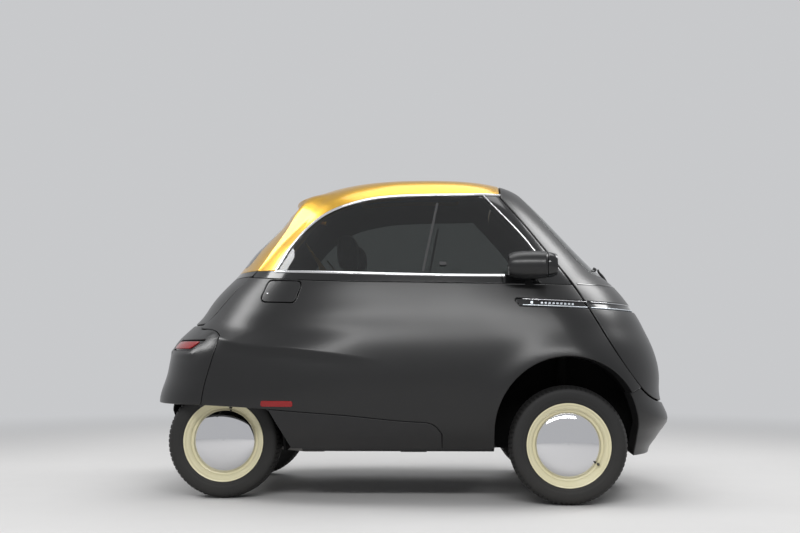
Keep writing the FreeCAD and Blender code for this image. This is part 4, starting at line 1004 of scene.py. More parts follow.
roof = trimmedPanel("roofSkin", upperBody, "fan", roofLoop, [[onPlan(upperBody, sunroofLine)]],
                    wall=panelForm["roofWall"],
                    lip=.004, gap=.0008, finishes=("roof_gold", "headlining"),
                    relief=reliefFrom(spoilerHeight), grid=.018)
placed(roof, "chassis", "roof_gold", "roof_shell")
sunroofGrown = sunroofLine.mean(0) + (sunroofLine - sunroofLine.mean(0)) * [.985, .985]
sunroofSkin = trimmedPanel("sunroofSkin", upperBody, "fan", [onPlan(upperBody, sunroofGrown)], wall=.02,
                           lip=.005, lifted=.004,
                           finishes=("roof_gold", "headlining"))
placed(sunroofSkin, "chassis", "roof_gold", "sunroof")
sealOuter = sunroofLine.mean(0) + (sunroofLine - sunroofLine.mean(0)) * 1.006
sealInner = sunroofLine.mean(0) + (sunroofLine - sunroofLine.mean(0)) * .96
sunroofSeal = trimmedPanel("sunroofSeal", upperBody, "fan", [onPlan(upperBody, sealOuter)],
                           [[onPlan(upperBody, sealInner)]], wall=.006, lip=.001, lifted=-.006,
                           finishes=("soft_rubber", "soft_rubber"))
placed(sunroofSeal, "chassis", "dark_plastic")

beltRear = untilShare(onSide(upperBody, between(belt, beltFront, belt[belt[:, 0] > -.9][0])), beltEnd)[::-1]
for side, name in ((-1, "right"), (1, "left")):
    turn = (lambda run: run) if side < 0 else flipped
    frameRuns = [beltRear, onSide(upperBody, np.concatenate([seamTop, [dripFront]])),
                 onSide(upperBody, between(drip, dripFront, windowTop)),
                 onSide(upperBody, between(windowFront, windowTop, glassFront)),
                 onSide(upperBody, between(glassSill, glassFront, glassRear)),
                 bandRun, np.concatenate([bandEnd, beltEnd])]
    piece = trimmedPanel("windowFrame_" + name, upperBody, "nose", [turn(r) for r in frameRuns], wall=.03,
                         lip=.002,
                         grid=.014, gap=.0004, finishes=("pod_gloss", "inner_trim"))
    placed(piece, "chassis", "pod_gloss")
    glassRuns = [between(windowFront, windowTop, glassFront), between(glassSill, glassFront, glassRear),
                 between(drip, glassRear, windowTop)]
    piece = trimmedPanel("sideGlass_" + name, upperBody, "nose",
                         [turn(onSide(upperBody, r)) for r in glassRuns], wall=panelForm["glass"],
                         lip=.001, lifted=-.002, gap=.0005, finishes=("tinted_glass", "tinted_glass"))
    placed(piece, "chassis", "tinted_glass", *(["side_windows"] if side < 0 else []))

# the hatch: gold frame round the glass, a gloss band in line with the belt, black below
hatchForm = dict(bandLow=1.0285, bandHigh=1.0565, split=.0012,
                 window=[(-300, 1085), (-252, 1338), (252, 1338), (300, 1085)], corner=45)
hatchLine = smoothLine(panelLines["hatchEdge"])


def hatchPiece(name, low, high, wall, lip, finishes, holes=()):
    line = np.stack([np.interp(np.linspace(low, high, 40), hatchLine[:, 1], hatchLine[:, 0]),
                     np.linspace(low, high, 40)], 1)
    right = onEnd(frontBody, line, True)
    loop = [right, atHeight(frontBody, high, np.linspace(right[-1, 0], 2 - right[-1, 0], 50)),
            tailFlip(right),
            atHeight(frontBody, low, np.linspace(2 - right[0, 0], right[0, 0], 50))]
    return trimmedPanel(name, frontBody, "tail", loop, holes, wall=wall, lip=lip, finishes=finishes)


def aroundTail(loop):
    return np.stack([np.where(loop[:, 0] < 0, loop[:, 0] + 2, loop[:, 0]), loop[:, 1]], 1)


rearGlassLoop = aroundTail(onEnd(frontBody, rounded(hatchForm["window"], hatchForm["corner"]), True))
placed(hatchPiece("hatchSkin", hatchForm["bandHigh"] + .0006, hatchTop, .034, .004,
                  ("roof_gold", "headlining"), [[rearGlassLoop]]),
       "hatch", "roof_gold", "hatch_panel")
placed(hatchPiece("hatchLower", .806, hatchForm["bandLow"], .036, panelForm["lip"],
                  ("body_black", "inner_trim")), "hatch", "body_black")
placed(hatchPiece("hatchBand", hatchForm["bandLow"] + .0012, hatchForm["bandHigh"] - .0006, .03, .002,
                  ("pod_gloss", "inner_trim")),
       "hatch", "pod_gloss")
rearGlass = trimmedPanel("rearGlass", frontBody, "tail", [rearGlassLoop], wall=panelForm["glass"], lip=.001,
                         lifted=-.001, gap=.002,
                         finishes=("tinted_glass", "tinted_glass"))
placed(rearGlass, "hatch", "tinted_glass", "rear_window")
frontGlass = trimmedPanel("frontGlass", frontBody, "nose", [screenLoop], wall=panelForm["glass"], lip=.001,
                          lifted=-.001, gap=.002,
                          finishes=("tinted_glass", "tinted_glass"))
placed(frontGlass, "front_door", "tinted_glass", "windscreen")

tailForm = dict(lip=.006, lipHeight=.668, lampLow=681, lampHigh=729, lampSide=-992, lampEnd=-335, lensInset=7,
                corner=14)
tailSeamRun = onSide(lowerBody, smoothLine(panelLines["tailSeam"])[::-1])
tailTopRun = onSide(lowerBody, smoothLine(panelLines["tailSeamTop"]))
tailTopRun = np.concatenate([tailTopRun[tailTopRun[:, 0] < tailCorner[0]], [tailCorner]])
tailHalf = [tailSeamRun, tailTopRun, atHeight(lowerBody, .8, np.linspace(tailCorner[0], 1, 30))]
bottomHalf = atHeight(lowerBody, tailBottom, np.linspace(1, tailSeamRun[0, 0], 50))
tailLoop = tailHalf + [tailFlip(r) for r in tailHalf[::-1]] + [tailFlip(bottomHalf), bottomHalf]


def lampLoop(inset=0):
    start = onSide(lowerBody, np.array([[(tailForm["lampSide"] - 3 * inset) / 1000, .705]]))[0, 0]
    end = onEnd(lowerBody, np.array([[(tailForm["lampEnd"] - inset) / 1000, .705]]), True)[0, 0]
    scale = lowerBody["half"] * 1000
    low, high = tailForm["lampLow"] + inset, tailForm["lampHigh"] - inset
    line = rounded([(start * scale, low), (end * scale, low), (end * scale, high), (start * scale, high)],
                   tailForm["corner"])
    return np.stack([line[:, 0] / lowerBody["half"],
                     np.interp(line[:, 1], lowerBody["height"], lowerBody["rise"])], 1)


def tailHeight(point):
    # the side's shoulder runs on to the lamp, and the lamp's lower edge has a soft lip
    x, y, z = point.T
    lip = tailForm["lip"] * np.exp(-((z - tailForm["lipHeight"]) / .012) ** 2) * smoothStep(-x, .99, 1.03)
    return sideHeight(point) * smoothStep(-x, 1.0, .94) + lip


lampRight = lampLoop()
lampLeft = np.stack([2 - lampRight[:, 0], lampRight[:, 1]], 1)
tail = trimmedPanel("tailSkin", lowerBody, "tail", tailLoop, [[lampRight], [lampLeft]],
                    wall=panelForm["wall"], lip=panelForm["lip"],
                    gap=panelForm["gap"], finishes=("body_black", "dark_plastic"),
                    relief=reliefFrom(tailHeight))
placed(tail, "chassis", "body_black", "tail_panel")
for name, loop in (("right", lampRight), ("left", lampLeft)):
    piece = trimmedPanel("tailLampCase_" + name, lowerBody, "tail", [loop], wall=.02, lip=.003, lifted=-.005,
                         gap=.002, grid=.01,
                         finishes=("pod_gloss", "dark_plastic"))
    placed(piece, "chassis", "pod_gloss")
    lens = lampLoop(tailForm["lensInset"])
    lens = lens if name == "right" else np.stack([2 - lens[:, 0], lens[:, 1]], 1)
    piece = trimmedPanel("tailLamp_" + name, lowerBody, "tail", [lens], wall=.012, lip=.004, lifted=.001,
                         grid=.01,
                         finishes=("red_lens", "red_lens"))
    placed(piece, "chassis", "red_lens", *(["tail_lamps"] if name == "right" else []))

bumperTop = onSide(lowerBody, between(bumperSeam, archStart, seamLow))
bumperDoor = onSide(lowerBody,
                    between(doorBehind, seamLow, doorBehind[doorBehind[:, 1] > doorBottomGap + .0005][-1]))
bumperHalf = [bumperTop, np.concatenate([bumperDoor,
        atHeight(lowerBody, doorBottomGap, np.linspace(bumperDoor[-1, 0], 0, 40))])]
archDown = onSide(lowerBody, between(archCircle, archStart, archCircle[0]))
lowFront = onSide(lowerBody, straightLine([
    (archFront * 1000, archForm["z"]), (archFront * 1000, bodyBottom * 1000)]))
underNose = atHeight(lowerBody, bodyBottom, np.linspace(lowFront[-1, 0], 0, 60))
rest = [archDown, lowFront, underNose]
bumperLoop = bumperHalf + [flipped(r)[::-1] for r in bumperHalf[::-1]] + [flipped(r)
        for r in rest] + [r[::-1] for r in rest[::-1]]
bumper = trimmedPanel("bumperSkin", lowerBody, "nose", bumperLoop, wall=panelForm["wall"], lip=.006,
                      gap=panelForm["gap"],
                      finishes=("body_black", "dark_plastic"))
placed(bumper, "chassis", "body_black", "front_bumper")

sillRear = smoothLine(panelLines["sillRear"])
sillTop = fenderEdge[np.abs(fenderEdge[:, 0] + .645).argmin()]
sillFoot = sillRear[sillRear[:, 1] > sillBottom][-1]
sillRuns = [between(fenderEdge, sillTop, fenderEdge[-1]), straightLine([(130, 307), (130, 240)]),
            straightLine([(130, 240), (sillFoot[0] * 1000, 240)]),
            np.concatenate([sillRear[sillRear[:, 1] > sillBottom][::-1], [sillTop]])]
for side, name in ((-1, "right"), (1, "left")):
    turn = (lambda run: run) if side < 0 else flipped
    piece = trimmedPanel("sillSkin_" + name, lowerBody, "nose",
                         [turn(onSide(lowerBody, r)) for r in sillRuns], wall=panelForm["wall"],
                         lip=.003, gap=.0005, finishes=("sill_grey", "dark_plastic"))
    placed(piece, "chassis", "sill_grey", *(["sills"] if side < 0 else []))

flapSkin = trimmedPanel("flapSkin", lowerBody, "nose", [flapLoop()], wall=.007, lip=.002, grid=.012,
                        finishes=("body_black", "dark_plastic"))
placed(flapSkin, "charge_flap", "body_black", "charge_flap")
print("all body panels built")


# trims that follow the body: a rounded bar on the surface along a drawn line
def barOnBody(name, body, run, width, height, finish, sink=.001, points=9, step=.008, side=0.0):
    # half an ellipse of the bar's width and height carried along the run, its foot sunk under the skin
    maps = chartOf(body, "nose")
    flat = maps[1](evenly(body, maps, run, step))
    place, normal = surfaceAt(body, flat[:, 0], flat[:, 1])
    ahead = np.gradient(place, axis=0)
    ahead /= np.linalg.norm(ahead, axis=1, keepdims=True)
    beside = np.cross(normal, ahead)
    turn = np.linspace(0, math.pi, points)
    across, up = np.cos(turn) * width / 2 + side, np.sin(turn) ** .7 * height
    profile = np.stack([np.concatenate([across, across[::-1][:1], across[:1]]),
                        np.concatenate([up, [-sink, -sink]])], 1)
    grid = (place[:, None] + beside[:, None] * profile[None, :, :1] + normal[:, None] * profile[None, :, 1:])
    return tubeMesh(name, grid, finish)


def tubeMesh(name, grid, finish, closedAcross=True, closedAlong=False, smooth=True, capped=True):
    # a grid of points, rows along the path and columns round the profile, made into quads with flat ends
    rows, columns = grid.shape[:2]
    i, j = np.meshgrid(np.arange(rows if closedAlong else rows - 1),
                       np.arange(columns if closedAcross else columns - 1), indexing="ij")
    ni, nj = (i + 1) % rows, (j + 1) % columns
    quads = np.stack([i * columns + j, i * columns + nj, ni * columns + nj, ni * columns + j], -1).reshape(-1,
            4)
    faces = [tuple(f) for f in quads.tolist()]
    if capped and closedAcross and not closedAlong:
        faces += [tuple(range(columns - 1, -1, -1)), tuple((rows - 1) * columns + k for k in range(columns))]
    made = makeObject(name, grid.reshape(-1, 3), faces, smooth, (finish,))
    outwardFaces(made)
    made.data.set_sharp_from_angle(angle=math.radians(40))
    return made


def outwardFaces(made):
    work = bmesh.new()
    work.from_mesh(made.data)
    bmesh.ops.recalc_face_normals(work, faces=work.faces)
    work.to_mesh(made.data)
    work.free()


for side, name in ((-1, "right"), (1, "left")):
    turn = (lambda run: run) if side < 0 else flipped
    rail = turn(onSide(upperBody, between(drip, dripFront, glassRear)))
    piece = barOnBody("dripRail_" + name, upperBody, rail, .013, .006, "bright_trim")
    placed(piece, "chassis", "bright_trim", *(["bright_rails"] if side < 0 else []))
    strip = turn(onSide(upperBody,
                        between(glassSill, glassRear, glassSill[np.abs(glassSill[:, 0] - .415).argmin()])))
    piece = barOnBody("beltStrip_" + name, upperBody, strip, .013, .005, "bright_trim",
                      side=-.006 if side < 0 else .006)
    placed(piece, "chassis", "bright_trim")
print("bright trims built")

# wheels: radius and distance from the middle plane, from the hub outwards, outer side at plus y
wheelForm = dict(
    places=[("front_right", .688, -.625), ("front_left", .688, .625), ("rear_right", -.878, -.45),
            ("rear_left", -.878, .45)],
    radius=.262, around=432, blocks=72, grooves=(-.030, 0, .030), grooveWidth=.0035, grooveDepth=.006,
    sipeDepth=.005,
    valve=(.155, -32.5), valveRear=(.155, 80))
# half of the tyre's section, from the bead to the middle of the tread
tyreHalf = [(.1765, .054), (.1835, .0625), (.188, .0655), (.193, .0668), (.1955, .0690), (.198, .0688),
            (.206, .0706), (.218, .0722),
            (.228, .0725), (.238, .0712), (.2465, .0672), (.2525, .0605), (.2572, .0515), (.2598, .042),
            (.2612, .030), (.2618, .015), (.262, 0)]
rimLine = [(.1765, -.060), (.184, -.064), (.1815, -.066), (.171, -.058), (.168, -.02), (.166, .0),
           (.160, .018), (.130, .020), (.075, .022),
           (.032, .025), (.032, .035), (.0155, .035), (.0155, .0362), (.033, .0365), (.036, .030),
           (.080, .0265), (.130, .026), (.150, .028),
           (.158, .031), (.161, .036), (.1625, .044), (.1655, .050), (.170, .0545), (.1745, .0585),
           (.178, .0638), (.1805, .0665), (.1835, .0675),
           (.1862, .0665), (.1862, .0640), (.182, .060), (.1765, .058)]
hubcapLine = [(.0002, .0572), (.03, .0566), (.06, .0546), (.09, .0511), (.115, .0462), (.132, .0406),
              (.1405, .0366), (.1445, .0335), (.1458, .0306),
              (.1450, .0283), (.1420, .0278), (.138, .0305), (.118, .0382), (.09, .0452), (.05, .0502),
              (.0002, .0522)]


def smoothProfile(points, count):
    # the profile's points joined by a spline along their own length, at count places
    points = np.array(points, float)
    along = np.concatenate([[0], np.cumsum(np.linalg.norm(np.diff(points, axis=0), axis=1))])
    return splineMatrix(along, np.linspace(0, along[-1], count)) @ points


def turnedAbout(profile, angles):
    # ring points: radius times the cosine and sine of the angle in the wheel's plane, the distance along y
    radius, along = profile[..., 0], profile[..., 1]
    return np.stack([radius * np.cos(angles), along + 0 * angles, radius * np.sin(angles)], -1)


def treadDepth(angle, along):
    # three grooves round the tyre and slanted cuts between the blocks, deepest where both meet
    w = wheelForm
    grooves = sum(np.exp(-(np.abs(along - g) / w["grooveWidth"]) ** 4) for g in w["grooves"])
    lean = 3.2 * np.abs(along) / .06 * np.sign(along + 1e-9) * .35
    wave = np.cos(w["blocks"] * angle + lean * 2 + 1.3 * (along > 0))
    cuts = smoothStep(wave, .55, .85) * smoothStep(np.abs(along), .004, .012) * smoothStep(-np.abs(along),
            -.0665, -.060)
    return np.maximum(grooves * w["grooveDepth"] * (np.abs(along) < .05), cuts * w["sipeDepth"])


def wheelMesh(name, grid, where, side, finish, body, *replaced, sharp=50):
    points = grid * [1, side, 1] + where
    made = tubeMesh(name, points, finish, closedAcross=False, closedAlong=True, capped=False)
    made.data.set_sharp_from_angle(angle=math.radians(sharp))
    return placed(made, body, finish, *replaced)


half = smoothProfile(tyreHalf, 46)
tyreLine = np.concatenate([half, (half * [1, -1])[-2::-1]])
angles = np.linspace(0, 2 * math.pi, wheelForm["around"], endpoint=False)[:, None]
depth = treadDepth(angles, tyreLine[None, :, 1]) * smoothStep(tyreLine[None, :, 0], .243, .252)
tyreGrid = turnedAbout(np.stack([tyreLine[None, :, 0] - depth, tyreLine[None, :, 1] + 0 * depth], -1), angles)
tyreGrid = np.concatenate([tyreGrid,
                           turnedAbout(np.array([[.170, -.050], [.170, .050]])[None] + 0 * angles[..., None],
                                       angles), tyreGrid[:, :1]], 1)
wide = np.linspace(0, 2 * math.pi, 144, endpoint=False)[:, None]
rimGrid = turnedAbout(smoothProfile(rimLine + rimLine[:1], 120)[None], wide)
capGrid = turnedAbout(smoothProfile(hubcapLine, 64)[None], wide)
for place, x, y in wheelForm["places"]:
    side, where = (1 if y > 0 else -1), np.array([x, y, wheelForm["radius"]])
    body = "wheel_" + place
    wheelMesh("tyreTread_" + place, tyreGrid, where, side, "tyre_rubber", body, "tyre_" + place, sharp=35)
    wheelMesh("rimRing_" + place, rimGrid, where, side, "rim_cream", body, "rim_" + place)
    wheelMesh("hubcapDome_" + place, capGrid, where, side, "hubcap_chrome", body, "hubcap_" + place)
    reach, degrees = wheelForm["valve" if x > 0 else "valveRear"]
    stem = smoothProfile([(.0002, .062), (.0026, .0615), (.0028, .055), (.0036, .054), (.0042, .046),
                          (.0048, .030), (.0002, .029)], 20)
    turn = np.linspace(0, 2 * math.pi, 20, endpoint=False)[:, None]
    stemGrid = turnedAbout(stem[None] + 0 * turn[..., None], turn) + [reach * math.cos(math.radians(degrees)),
            0, reach * math.sin(math.radians(degrees))]
    wheelMesh("valve_" + place, stemGrid, where, side, "dark_plastic", body)
print("wheels built")

# lamp pods: barrels along the car with the headlamp at the front and the mirror behind
podForm = dict(
    y=.716, z=1.058, around=96,
    barrel=[(.600, .0505), (.5985, .0520), (.5975, .0555), (.5965, .0562), (.592, .0588), (.580, .0600),
            (.560, .0609), (.525, .0613), (.490, .0606),
            (.466, .0586), (.448, .0552), (.437, .0517), (.431, .0493), (.4285, .0474), (.4290, .0462),
            (.434, .0458), (.440, .0455)],
    bezel=[(.598, .0500), (.5990, .0525), (.6005, .0556), (.604, .0566), (.614, .0556), (.624, .0532),
           (.633, .0500), (.6395, .0468), (.6418, .0448),
           (.6405, .0436), (.634, .0432), (.612, .0430), (.600, .0425)],
    bowl=[(.6345, .0431), (.620, .0405), (.608, .034), (.600, .023), (.5965, .012), (.596, .0002)],
    lens=[(.6375, .0002), (.6372, .012), (.6362, .024), (.6345, .034), (.6315, .0418), (.6290, .0430),
          (.6280, .0426), (.6318, .033), (.6338, .018), (.6345, .0002)],
    bulb=[(.597, .0002), (.597, .010), (.603, .0115), (.609, .0112), (.613, .009), (.615, .0002)],
    mirror=[(.4330, .0002), (.4330, .0455), (.4400, .0455), (.4400, .0002)],
    arm=[(.530, .600, .9935), (.531, .622, .9975), (.532, .655, 1.004), (.532, .690, 1.012),
         (.531, .712, 1.024)], armSize=[(.034, .016), (.026, .011), (.021, .0095), (.022, .011),
                                        (.030, .020)])


def turnedAlongX(profile, count, y, z, finish, name, body, *replaced, sharp=40, smoothLineCount=0):
    # ring points: the profile's x, and its radius round an axis along the car at y and z
    line = smoothProfile(profile, smoothLineCount) if smoothLineCount else np.array(profile, float)
    turn = np.linspace(0, 2 * math.pi, count, endpoint=False)[:, None]
    grid = np.stack([line[None, :, 0] + 0 * turn, y + line[None, :, 1] * np.cos(turn),
                     z + line[None, :, 1] * np.sin(turn)], -1)
    made = tubeMesh(name, grid, finish, closedAcross=False, closedAlong=True, capped=False)
    made.data.set_sharp_from_angle(angle=math.radians(sharp))
    return placed(made, body, finish, *replaced)


def armGrid(points, sizes, count=32, steps=40):
    # elliptical rings along a spline; the ellipse's half sizes along the car and upright follow a spline too
    path = smoothProfile(points, steps)
    size = splineMatrix(np.linspace(0, 1, len(sizes)), np.linspace(0, 1, steps)) @ np.array(sizes, float)
    ahead = np.gradient(path, axis=0)
    ahead /= np.linalg.norm(ahead, axis=1, keepdims=True)
    first = np.array([1.0, 0, 0]) - ahead * ahead[:, :1]
    first /= np.linalg.norm(first, axis=1, keepdims=True)
    second = np.cross(ahead, first)
    turn = np.linspace(0, 2 * math.pi, count, endpoint=False)
    return (path[:, None] + first[:, None] * (np.cos(turn)[None, :, None] * size[:, None, :1])
            + second[:, None] * (np.sin(turn)[None, :, None] * size[:, None, 1:]))


for side, name in ((-1, "right"), (1, "left")):
    y, z, n, first = side * podForm["y"], podForm["z"], podForm["around"], side < 0
    turnedAlongX(podForm["barrel"], n, y, z, "body_black", "podBarrel_" + name, "chassis",
                 *(["lamp_pods"] if first else []), smoothLineCount=70)
    turnedAlongX(podForm["bezel"], n, y, z, "pod_gloss", "podBezel_" + name, "chassis", smoothLineCount=60)
    turnedAlongX(podForm["bowl"], n, y, z, "mirror_face", "podBowl_" + name, "chassis", smoothLineCount=30)
    turnedAlongX(podForm["bulb"], n, y, z, "lamp_pale_and_painted_highlight", "podBulb_" + name, "chassis", smoothLineCount=24)
    turnedAlongX(podForm["lens"], n, y, z, "clear_lens", "podLens_" + name, "chassis",
                 *(["headlamp_lenses"] if first else []), smoothLineCount=50)
    turnedAlongX(podForm["mirror"], n, y, z, "mirror_face", "podMirror_" + name, "chassis",
                 *(["mirror_glasses"] if first else []))
    grid = armGrid(podForm["arm"], podForm["armSize"]) * [1, side, 1]
    placed(tubeMesh("podArm_" + name, grid, "pod_gloss"), "chassis", "pod_gloss")
print("lamp pods built")

# lamp bars in the slots, set back under the skin, with equal lamp segments; a pale strip along the foot and a
# chrome strip along the top are painted highlights for the reflection lines on the slot's edges
barForm = dict(back=.0055, wall=.008, segments=9, first=.5335, pitch=.0178, size=(.0105, .0085), gap=.0014)
for side, name in ((-1, "right"), (1, "left")):
    turn = (lambda run: run) if side < 0 else flipped
    runs = [between(slotTop, slotUpper, slotTop[0]), straightLine(panelLines["slotTip"]),
            between(slotLow, slotLow[0], slotLower), between(doorBehind, slotLower, slotUpper)]
    piece = trimmedPanel("lampBar_" + name, lowerBody, "nose", [turn(onSide(lowerBody, r)) for r in runs],
                         wall=barForm["wall"], lip=.001,
                         lifted=-barForm["back"], gap=barForm["gap"], grid=.012,
                         finishes=("pod_gloss", "dark_plastic"))
    placed(piece, "chassis", "pod_gloss", *(["side_light_bars"] if side < 0 else []))
doorSlotTop, doorSlotLow = noseRun(frontBody, slotTop, slotOnDoor[0]), noseRun(frontBody, slotLow,
        slotOnDoor[1])
doorSlotEnd = onSide(frontBody, between(doorSeam, slotOnDoor[0], slotOnDoor[1]))
piece = trimmedPanel("doorLampBar", frontBody, "nose",
        [doorSlotTop, flipped(doorSlotEnd), doorSlotLow[::-1], doorSlotEnd[::-1]], wall=barForm["wall"],
                     lip=.001, lifted=-barForm["back"], gap=barForm["gap"], grid=.014,
                     finishes=("pod_gloss", "dark_plastic"))
placed(piece, "front_door", "pod_gloss", "front_light_bar")


def slab(body, loops, name, finish, owner, lifted, wall=.003, lip=.0008, step=.003):
    made = trimmedPanel(name, body, "nose", [loops], wall=wall, lip=lip, lifted=lifted, step=step, grid=.008,
                        finishes=(finish, finish))
    return placed(made, owner, finish)


def cell(x, z, half, high, lean=0.0, radius=2):
    corners = [(x - half + lean, z + high), (x - half - lean, z - high), (x + half - lean, z - high),
               (x + half + lean, z + high)]
    return rounded([(a * 1000, b * 1000) for a, b in corners], radius)


for side, name in ((-1, "right"), (1, "left")):
    turn = (lambda run: run) if side < 0 else flipped
    w, h = barForm["size"][0] / 2, barForm["size"][1] / 2
    cells = [("barMark_" + name, barForm["first"], .006, .006)]
    cells += [("barSegment_%s_%d" % (name, k), barForm["first"] + .045 + k * barForm["pitch"], w,
               h) for k in range(barForm["segments"])]
    for label, x, half, high in cells:
        z = (np.interp(x, slotTop[:, 0], slotTop[:, 1]) + np.interp(x, slotLow[:, 0],
                slotLow[:, 1])) / 2 + .001
        slab(lowerBody, turn(onSide(lowerBody, cell(x, z, half, high))), label, "lamp_pale_and_painted_highlight", "chassis",
             -barForm["back"] + .0022)
    # painted highlights: a pale strip along the slot's foot and a chrome strip along its top, in place of the
    # reflection lines on its edges
    for label, body, start, end, owner in (("side", lowerBody, .492, slotLower[0] - .006, "chassis"),
                                           ("door", frontBody, slotOnDoor[1][0] + .006, 1.035, "front_door")):
        xs = np.linspace(start, end, 40)
        line = np.stack([xs, np.interp(xs, slotLow[:, 0], slotLow[:, 1]) + .0042], 1)
        piece = barOnBody("slotFootHighlight_%s_%s" % (label, name), body, turn(onSide(body, line)), .0045, .0022,
                          "lamp_pale_and_painted_highlight", sink=.008)
        placed(piece, owner, "lamp_pale_and_painted_highlight")
        line[:, 1] = np.interp(xs, slotTop[:, 0], slotTop[:, 1]) - .003
        piece = barOnBody("slotTopHighlight_%s_%s" % (label, name), body, turn(onSide(body, line)), .003, .0016,
                          "bright_trim", sink=.006)
        placed(piece, owner, "bright_trim")
print("lamp bars built")

# reflectors low on the sides, rounded slabs that follow the skin
reflectorForm = dict(corners=[(-675, 430), (-530, 430), (-530, 456), (-675, 456)], radius=9)
for side, name in ((-1, "right"), (1, "left")):
    turn = (lambda run: run) if side < 0 else flipped
    loop = turn(onSide(lowerBody, rounded(reflectorForm["corners"], reflectorForm["radius"])))
    piece = trimmedPanel("reflector_" + name, lowerBody, "nose", [loop], wall=.007, lip=.0025, lifted=.004,
                         step=.004, grid=.01,
                         finishes=("red_lens", "red_lens"))
    placed(piece, "chassis", "red_lens", *(["side_reflectors"] if side < 0 else []))

# side window: divider seal, finger knob and the thin line in front of the pane
windowForm = dict(divider=[(113, 1362), (47, 1036)], knob=(.137, 1.070), knobSize=(.017, .0085))
for side, name in ((-1, "right"), (1, "left")):
    turn = (lambda run: run) if side < 0 else flipped
    piece = barOnBody("paneSeal_" + name, upperBody,
                      turn(onSide(upperBody, straightLine(windowForm["divider"]))), .011, .0022,
                      "dark_plastic", sink=.004)
    placed(piece, "chassis", "dark_plastic")
    x, z = windowForm["knob"]
    w, h = windowForm["knobSize"]
    knob = trimmedPanel("paneKnob_" + name, upperBody, "nose",
                        [turn(onSide(upperBody, cell(x, z, w, h, radius=7)))], wall=.012, lip=.003,
                        lifted=.008, step=.003, grid=.006, finishes=("dark_plastic", "dark_plastic"))
    placed(knob, "chassis", "dark_plastic")
    line = between(windowFront, windowTop, windowFront[np.abs(windowFront[:, 1] - 1.085).argmin()]) + [.010,
            0]
    placed(barOnBody("paneLine_" + name, upperBody, turn(onSide(upperBody, line)), .0055, .0028,
                     "bright_trim"), "chassis", "bright_trim")

# a gloss line carries the belt across the door, under the windscreen
beltAcross = noseRun(frontBody, np.array([[.4, .9805], [1.3, .9845]]),
                     crossing(doorSeam, straightLine([(600, 980.5), (1200, 980.5)])))
beltAcross = beltAcross[(np.abs(beltAcross[:, 0]) < np.abs(beltAcross[0, 0]) - .004)]
placed(barOnBody("doorBelt", frontBody, beltAcross, .012, .0016, "pod_gloss", sink=.002), "front_door",
       "pod_gloss")

# wiper: pivot cap, tapering arm, blade holder and rubber along the foot of the windscreen
wiperForm = dict(pivot=(.048, 1.012), tip=(-.30, 1.062), capRadius=.019, capHeight=.024, lift=.016)


def onFront(y, z, lift):
    share = onEnd(frontBody, np.array([[y, z]]), False)
    place, normal = surfaceAt(frontBody, share[:, 0], share[:, 1])
    return place[0] + normal[0] * lift, normal[0]


capAt, capUp = onFront(*wiperForm["pivot"], 0)
frameMatrix = Vector(capUp.tolist()).to_track_quat("Z", "Y").to_matrix()
turn = np.linspace(0, 2 * math.pi, 40, endpoint=False)[:, None]
capLine = smoothProfile([(.0002, wiperForm["capHeight"]), (.009, .0236), (.0145, .0205), (.0175, .013),
                         (.0190, .004), (.0195, -.002)], 24)
capGrid = np.stack([capLine[None, :, 0] * np.cos(turn), capLine[None, :, 0] * np.sin(turn),
                    capLine[None, :, 1] + 0 * turn], -1)
capGrid = capGrid @ np.array(frameMatrix).T + capAt
placed(tubeMesh("wiperCap", capGrid, "dark_plastic", closedAcross=False, closedAlong=True, capped=False),
       "front_door", "dark_plastic", "wiper")
armPath = np.array([onFront(y, z, lift)[0] for y, z,
        lift in ((.048, 1.012, .018), (.030, 1.030, .024), (-.02, 1.052, .022), (-.11, 1.064, .019))])
placed(tubeMesh("wiperArm",
                armGrid(armPath, [(.008, .007), (.0075, .006), (.006, .0045), (.005, .004)], 16, 40),
                "dark_plastic"), "front_door", "dark_plastic")
bladePath = np.array([onFront(y, 1.066 + .004 * math.cos(y * 6), .011)[0] for y in np.linspace(.07, -.30,
        12)])
placed(tubeMesh("wiperBlade", armGrid(bladePath, [(.0032, .0045)] * 4, 12, 60), "dark_plastic"), "front_door",
       "dark_plastic")
rubberPath = np.array([onFront(y, 1.066 + .004 * math.cos(y * 6), .004)[0] for y in np.linspace(.072, -.302,
        12)])
placed(tubeMesh("wiperRubber", armGrid(rubberPath, [(.0016, .0042)] * 4, 10, 60), "dark_plastic"),
       "front_door", "dark_plastic")

# charge flap's lock, hatch handle, and the rear number plate left blank
flapLock = cell(-.667, .940, .0035, .0035, radius=3)
slab(lowerBody, onSide(lowerBody, flapLock), "flapLock", "bright_trim", "charge_flap", .0012, wall=.003,
     step=.001)


def tailSlab(name, body, corners, radius, finish, owner, lifted, wall, lip=.002, grid=.012, relief=None):
    loop = aroundTail(onEnd(body, rounded(corners, radius), True))
    made = trimmedPanel(name, body, "tail", [loop], wall=wall, lip=lip, lifted=lifted, grid=grid, step=.005,
                        finishes=(finish, finish), relief=relief)
    return placed(made, owner, finish)


tailSlab("hatchHandle", frontBody, [(-70, 872), (-70, 900), (70, 900), (70, 872)], 12, "pod_gloss", "hatch",
         .006, .008)
tailSlab("rearPlate", lowerBody, [(-130, 520), (-130, 640), (130, 640), (130, 520)], 8, "plate_white",
         "chassis", .004, .006)
print("small fittings built")

